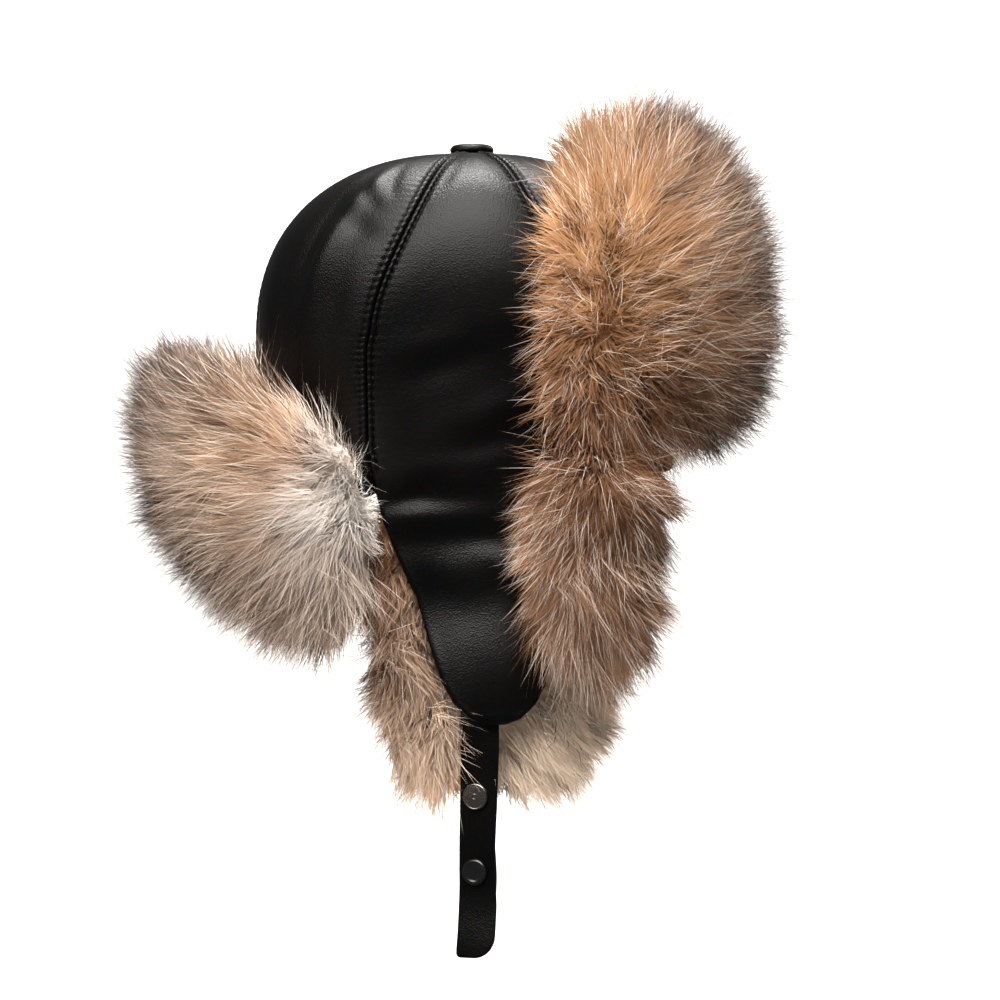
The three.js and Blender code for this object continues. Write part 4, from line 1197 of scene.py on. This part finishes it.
def fox(tree, shader):
    def read(name):
        return node(tree, "ShaderNodeAttribute", attribute_name=name)

    def mixed(factor, a, b):
        return node(tree, "ShaderNodeMix", {"Factor": factor, 6: a, 7: b}, data_type="RGBA").outputs[2]

    def ramp(value, low, high):
        return node(tree, "ShaderNodeMapRange", {"Value": value, "From Min": low, "From Max": high},
                    interpolation_type="SMOOTHSTEP").outputs[0]

    def math(operation, a, b):
        return node(tree, "ShaderNodeMath", {0: a, 1: b}, operation=operation).outputs[0]

    along, chance, stiff = (read(name).outputs["Fac"] for name in ("along", "chance", "stiff"))
    tuft = node(tree, "ShaderNodeSeparateXYZ", {0: read("tuft").outputs["Vector"]}).outputs["X"]
    coat = read("coat").outputs["Color"]
    # painted shade: the roots and the bare pelt are darkened, for fox hair's dark root and the shade down in
    # the coat
    shade = node(tree, "ShaderNodeMix", {"Factor": read("deep").outputs["Fac"], 6: coat, 7: ROOT_AND_SHADE_TINT},
                 data_type="RGBA", blend_type="MULTIPLY").outputs[2]
    colour = mixed(ramp(along, 0.0, 0.5), shade, coat)
    bright = math("ADD", 0.97, math("MULTIPLY", tuft, 0.12))
    colour = node(tree, "ShaderNodeVectorMath", {0: colour, "Scale": bright}, operation="SCALE").outputs[0]
    first = math("FRACT", math("MULTIPLY", chance, 7.31), 0.0)
    pale = math("MULTIPLY", math("LESS_THAN", first, read("frost").outputs["Fac"]), ramp(along, 0.3, 0.7))
    pale = math("MULTIPLY", pale, math("ADD", 0.12, math("MULTIPLY", stiff, 0.83)))
    colour = mixed(pale, colour, CREAM)
    second = math("FRACT", math("MULTIPLY", chance, 13.7), 0.0)
    dark = math("MULTIPLY", math("LESS_THAN", second, read("sable").outputs["Fac"]), ramp(along, 0.55, 0.8))
    dark = math("MULTIPLY", dark, math("ADD", 0.4, math("MULTIPLY", stiff, 0.5)))
    colour = mixed(dark, colour, DARK_BROWN)
    tree.links.new(colour, shader.inputs["Base Color"])
    shader.inputs["Roughness"].default_value = 0.6
    shader.inputs["Specular IOR Level"].default_value = 0.12

fox_fur = finish("fox_fur", fox)
grow_hair = hair_tree()

# %% [markdown]
# Each fur has a rule for where its hair stands and how long it is, so that none grows where the
# leather covers the pelt, and the outline keeps its shape.

# %% Where the hair stands on each fur, and how long it is
def outward_only(points, normals, edge=-12):
    """On a turned-up flap the hair grows away from the crown, and is shorter towards the two ends.

    From the height edge up, which is just over the leather's free edge, it grows on both sides,
    but shorter on the side of the crown.
    """
    turn = np.arctan2(points[:, 1] / CROWN["side"], points[:, 0] / CROWN["front"])
    away = normals[:, 0] * np.cos(turn) + normals[:, 1] * np.sin(turn)
    aside = np.degrees(np.arccos(abs(np.cos(turn))))
    short = np.clip((72 - aside) / 16, 0.55, 1)
    thick = np.clip((away + 0.35) / 0.5, 0, 1)
    thick = np.maximum(thick, np.clip((points[:, 2] - edge) / 8, 0, 0.8))
    return thick, (0.6 + 0.4 * np.clip(away + 0.6, 0, 1)) * short

def soft_at_the_ends(points, normals):
    """The neck fur's two ends are rounded off, with shorter hair where they face forwards."""
    thick, length = outward_only(points, normals, edge=-112)
    return thick, length * (1 - 0.3 * np.clip(1.5 * normals[:, 0], 0, 1))

def around_the_flap(points, normals):
    """Long past the leather's edge, short on the side of the cheek, and none behind the leather."""
    x, y, z = points[:, 0], abs(points[:, 1]), points[:, 2]
    rear, front = between(EAR_FLAP, "z", z, "rear"), between(EAR_FLAP, "z", z, "front")
    beyond = np.maximum(np.maximum(rear - x, x - front), EAR_FLAP["z"][-1] - z)
    outward = normals[:, 1] * np.sign(points[:, 1])
    covered = np.clip(1 - (beyond + 2) / 5, 0, 1) * np.clip(outward * 3 + 2, 0, 1)
    inside = np.clip(-outward * 1.3, 0, 1)
    # the strap lies against the pelt, so hair in its way would come through it
    on_strap = np.exp(-((x - STRAP["x"]) / 16) ** 6) * np.clip(outward * 2 + 1.4, 0, 1)
    thick = np.clip((-158 - z) / 12, 0, 1) * (1 - covered) * (1 - 0.45 * inside) * (1 - on_strap)
    by_the_edge = np.clip(0.45 + beyond / 12, 0.4, 1)
    return thick, (1 - 0.62 * inside - 0.5 * on_strap) * by_the_edge

def off_the_leather(points, normals):
    """Shorter towards the rear, where the hair would hide the ear flap, and longer at the lower end."""
    outward = normals[:, 1] * np.sign(points[:, 1])
    thick = np.clip((outward + 0.55) / 0.5, 0, 1) * np.clip((0.75 - normals[:, 2]) / 0.4, 0, 1)
    longer = 1 + 0.35 * np.clip((-215 - points[:, 2]) / 20, 0, 1)
    return thick, longer * np.clip(0.62 + (points[:, 0] - 38) / 45, 0.6, 1)

# %% Grow each fur, in its place
def mirrored(mesh, called):
    """The same pelt for the right side of the hat, combed the other way across."""
    other = mesh.copy()
    other.name = called
    mirror_mesh(other)
    for name in ("comb", "soft"):
        for item in other.attributes[name].data:
            item.vector[1] = -item.vector[1]
    return other

# rings from end to end and cells round them make the pelt, underfur and guard count its hairs
FURS = [
    {"node": "front_flap_fur", "rings": 64, "cells": 40, "coat": "front", "underfur": 40500, "guard": 29000,
     "at": flap_pelt(FRONT_FLAP, FRONT_FUR), "growing": outward_only, "slot": "fox_fur"},
    {"node": "neck_flap_fur", "rings": 60, "cells": 36, "coat": "neck", "underfur": 39000, "guard": 28000,
     "at": flap_pelt(NECK_FLAP, NECK_FUR), "growing": soft_at_the_ends, "slot": "fox_fur"},
    {"node": "ear_lining_left", "rings": 40, "cells": 40, "coat": "ear", "underfur": 24000, "guard": 15500,
     "at": ear_pelt, "growing": around_the_flap, "slot": "pale_fur"},
    {"node": "cheek_strip_left", "rings": 30, "cells": 30, "coat": "cheek", "underfur": 16500, "guard": 12000,
     "at": cheek_pelt, "growing": off_the_leather, "slot": "fox_fur"},
]

def make_furs(share):
    for number, row in enumerate(FURS):
        pelt = pelt_mesh(row["node"] + "_pelt", row["at"], row["rings"], row["cells"])
        groom(pelt, row["coat"], row["growing"])
        pelts = {row["node"]: pelt}
        if row["node"].endswith("left"):
            other = row["node"].replace("left", "right")
            pelts[other] = mirrored(pelt, other + "_pelt")
        seed = 11 * (number + 1)
        for node_name, skin in pelts.items():
            fur = grown("fur_" + node_name, skin, row["underfur"] * share, row["guard"] * share, seed)
            stand_for(fur, node_name)
    for used in (underfur_blade, guard_blade):
        bpy.data.objects.remove(used)

make_furs(1)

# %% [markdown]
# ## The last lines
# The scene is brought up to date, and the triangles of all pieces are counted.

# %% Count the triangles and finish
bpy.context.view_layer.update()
print("all pieces", triangles(one.data for one in bpy.data.objects if one.type == "MESH"), "triangles")
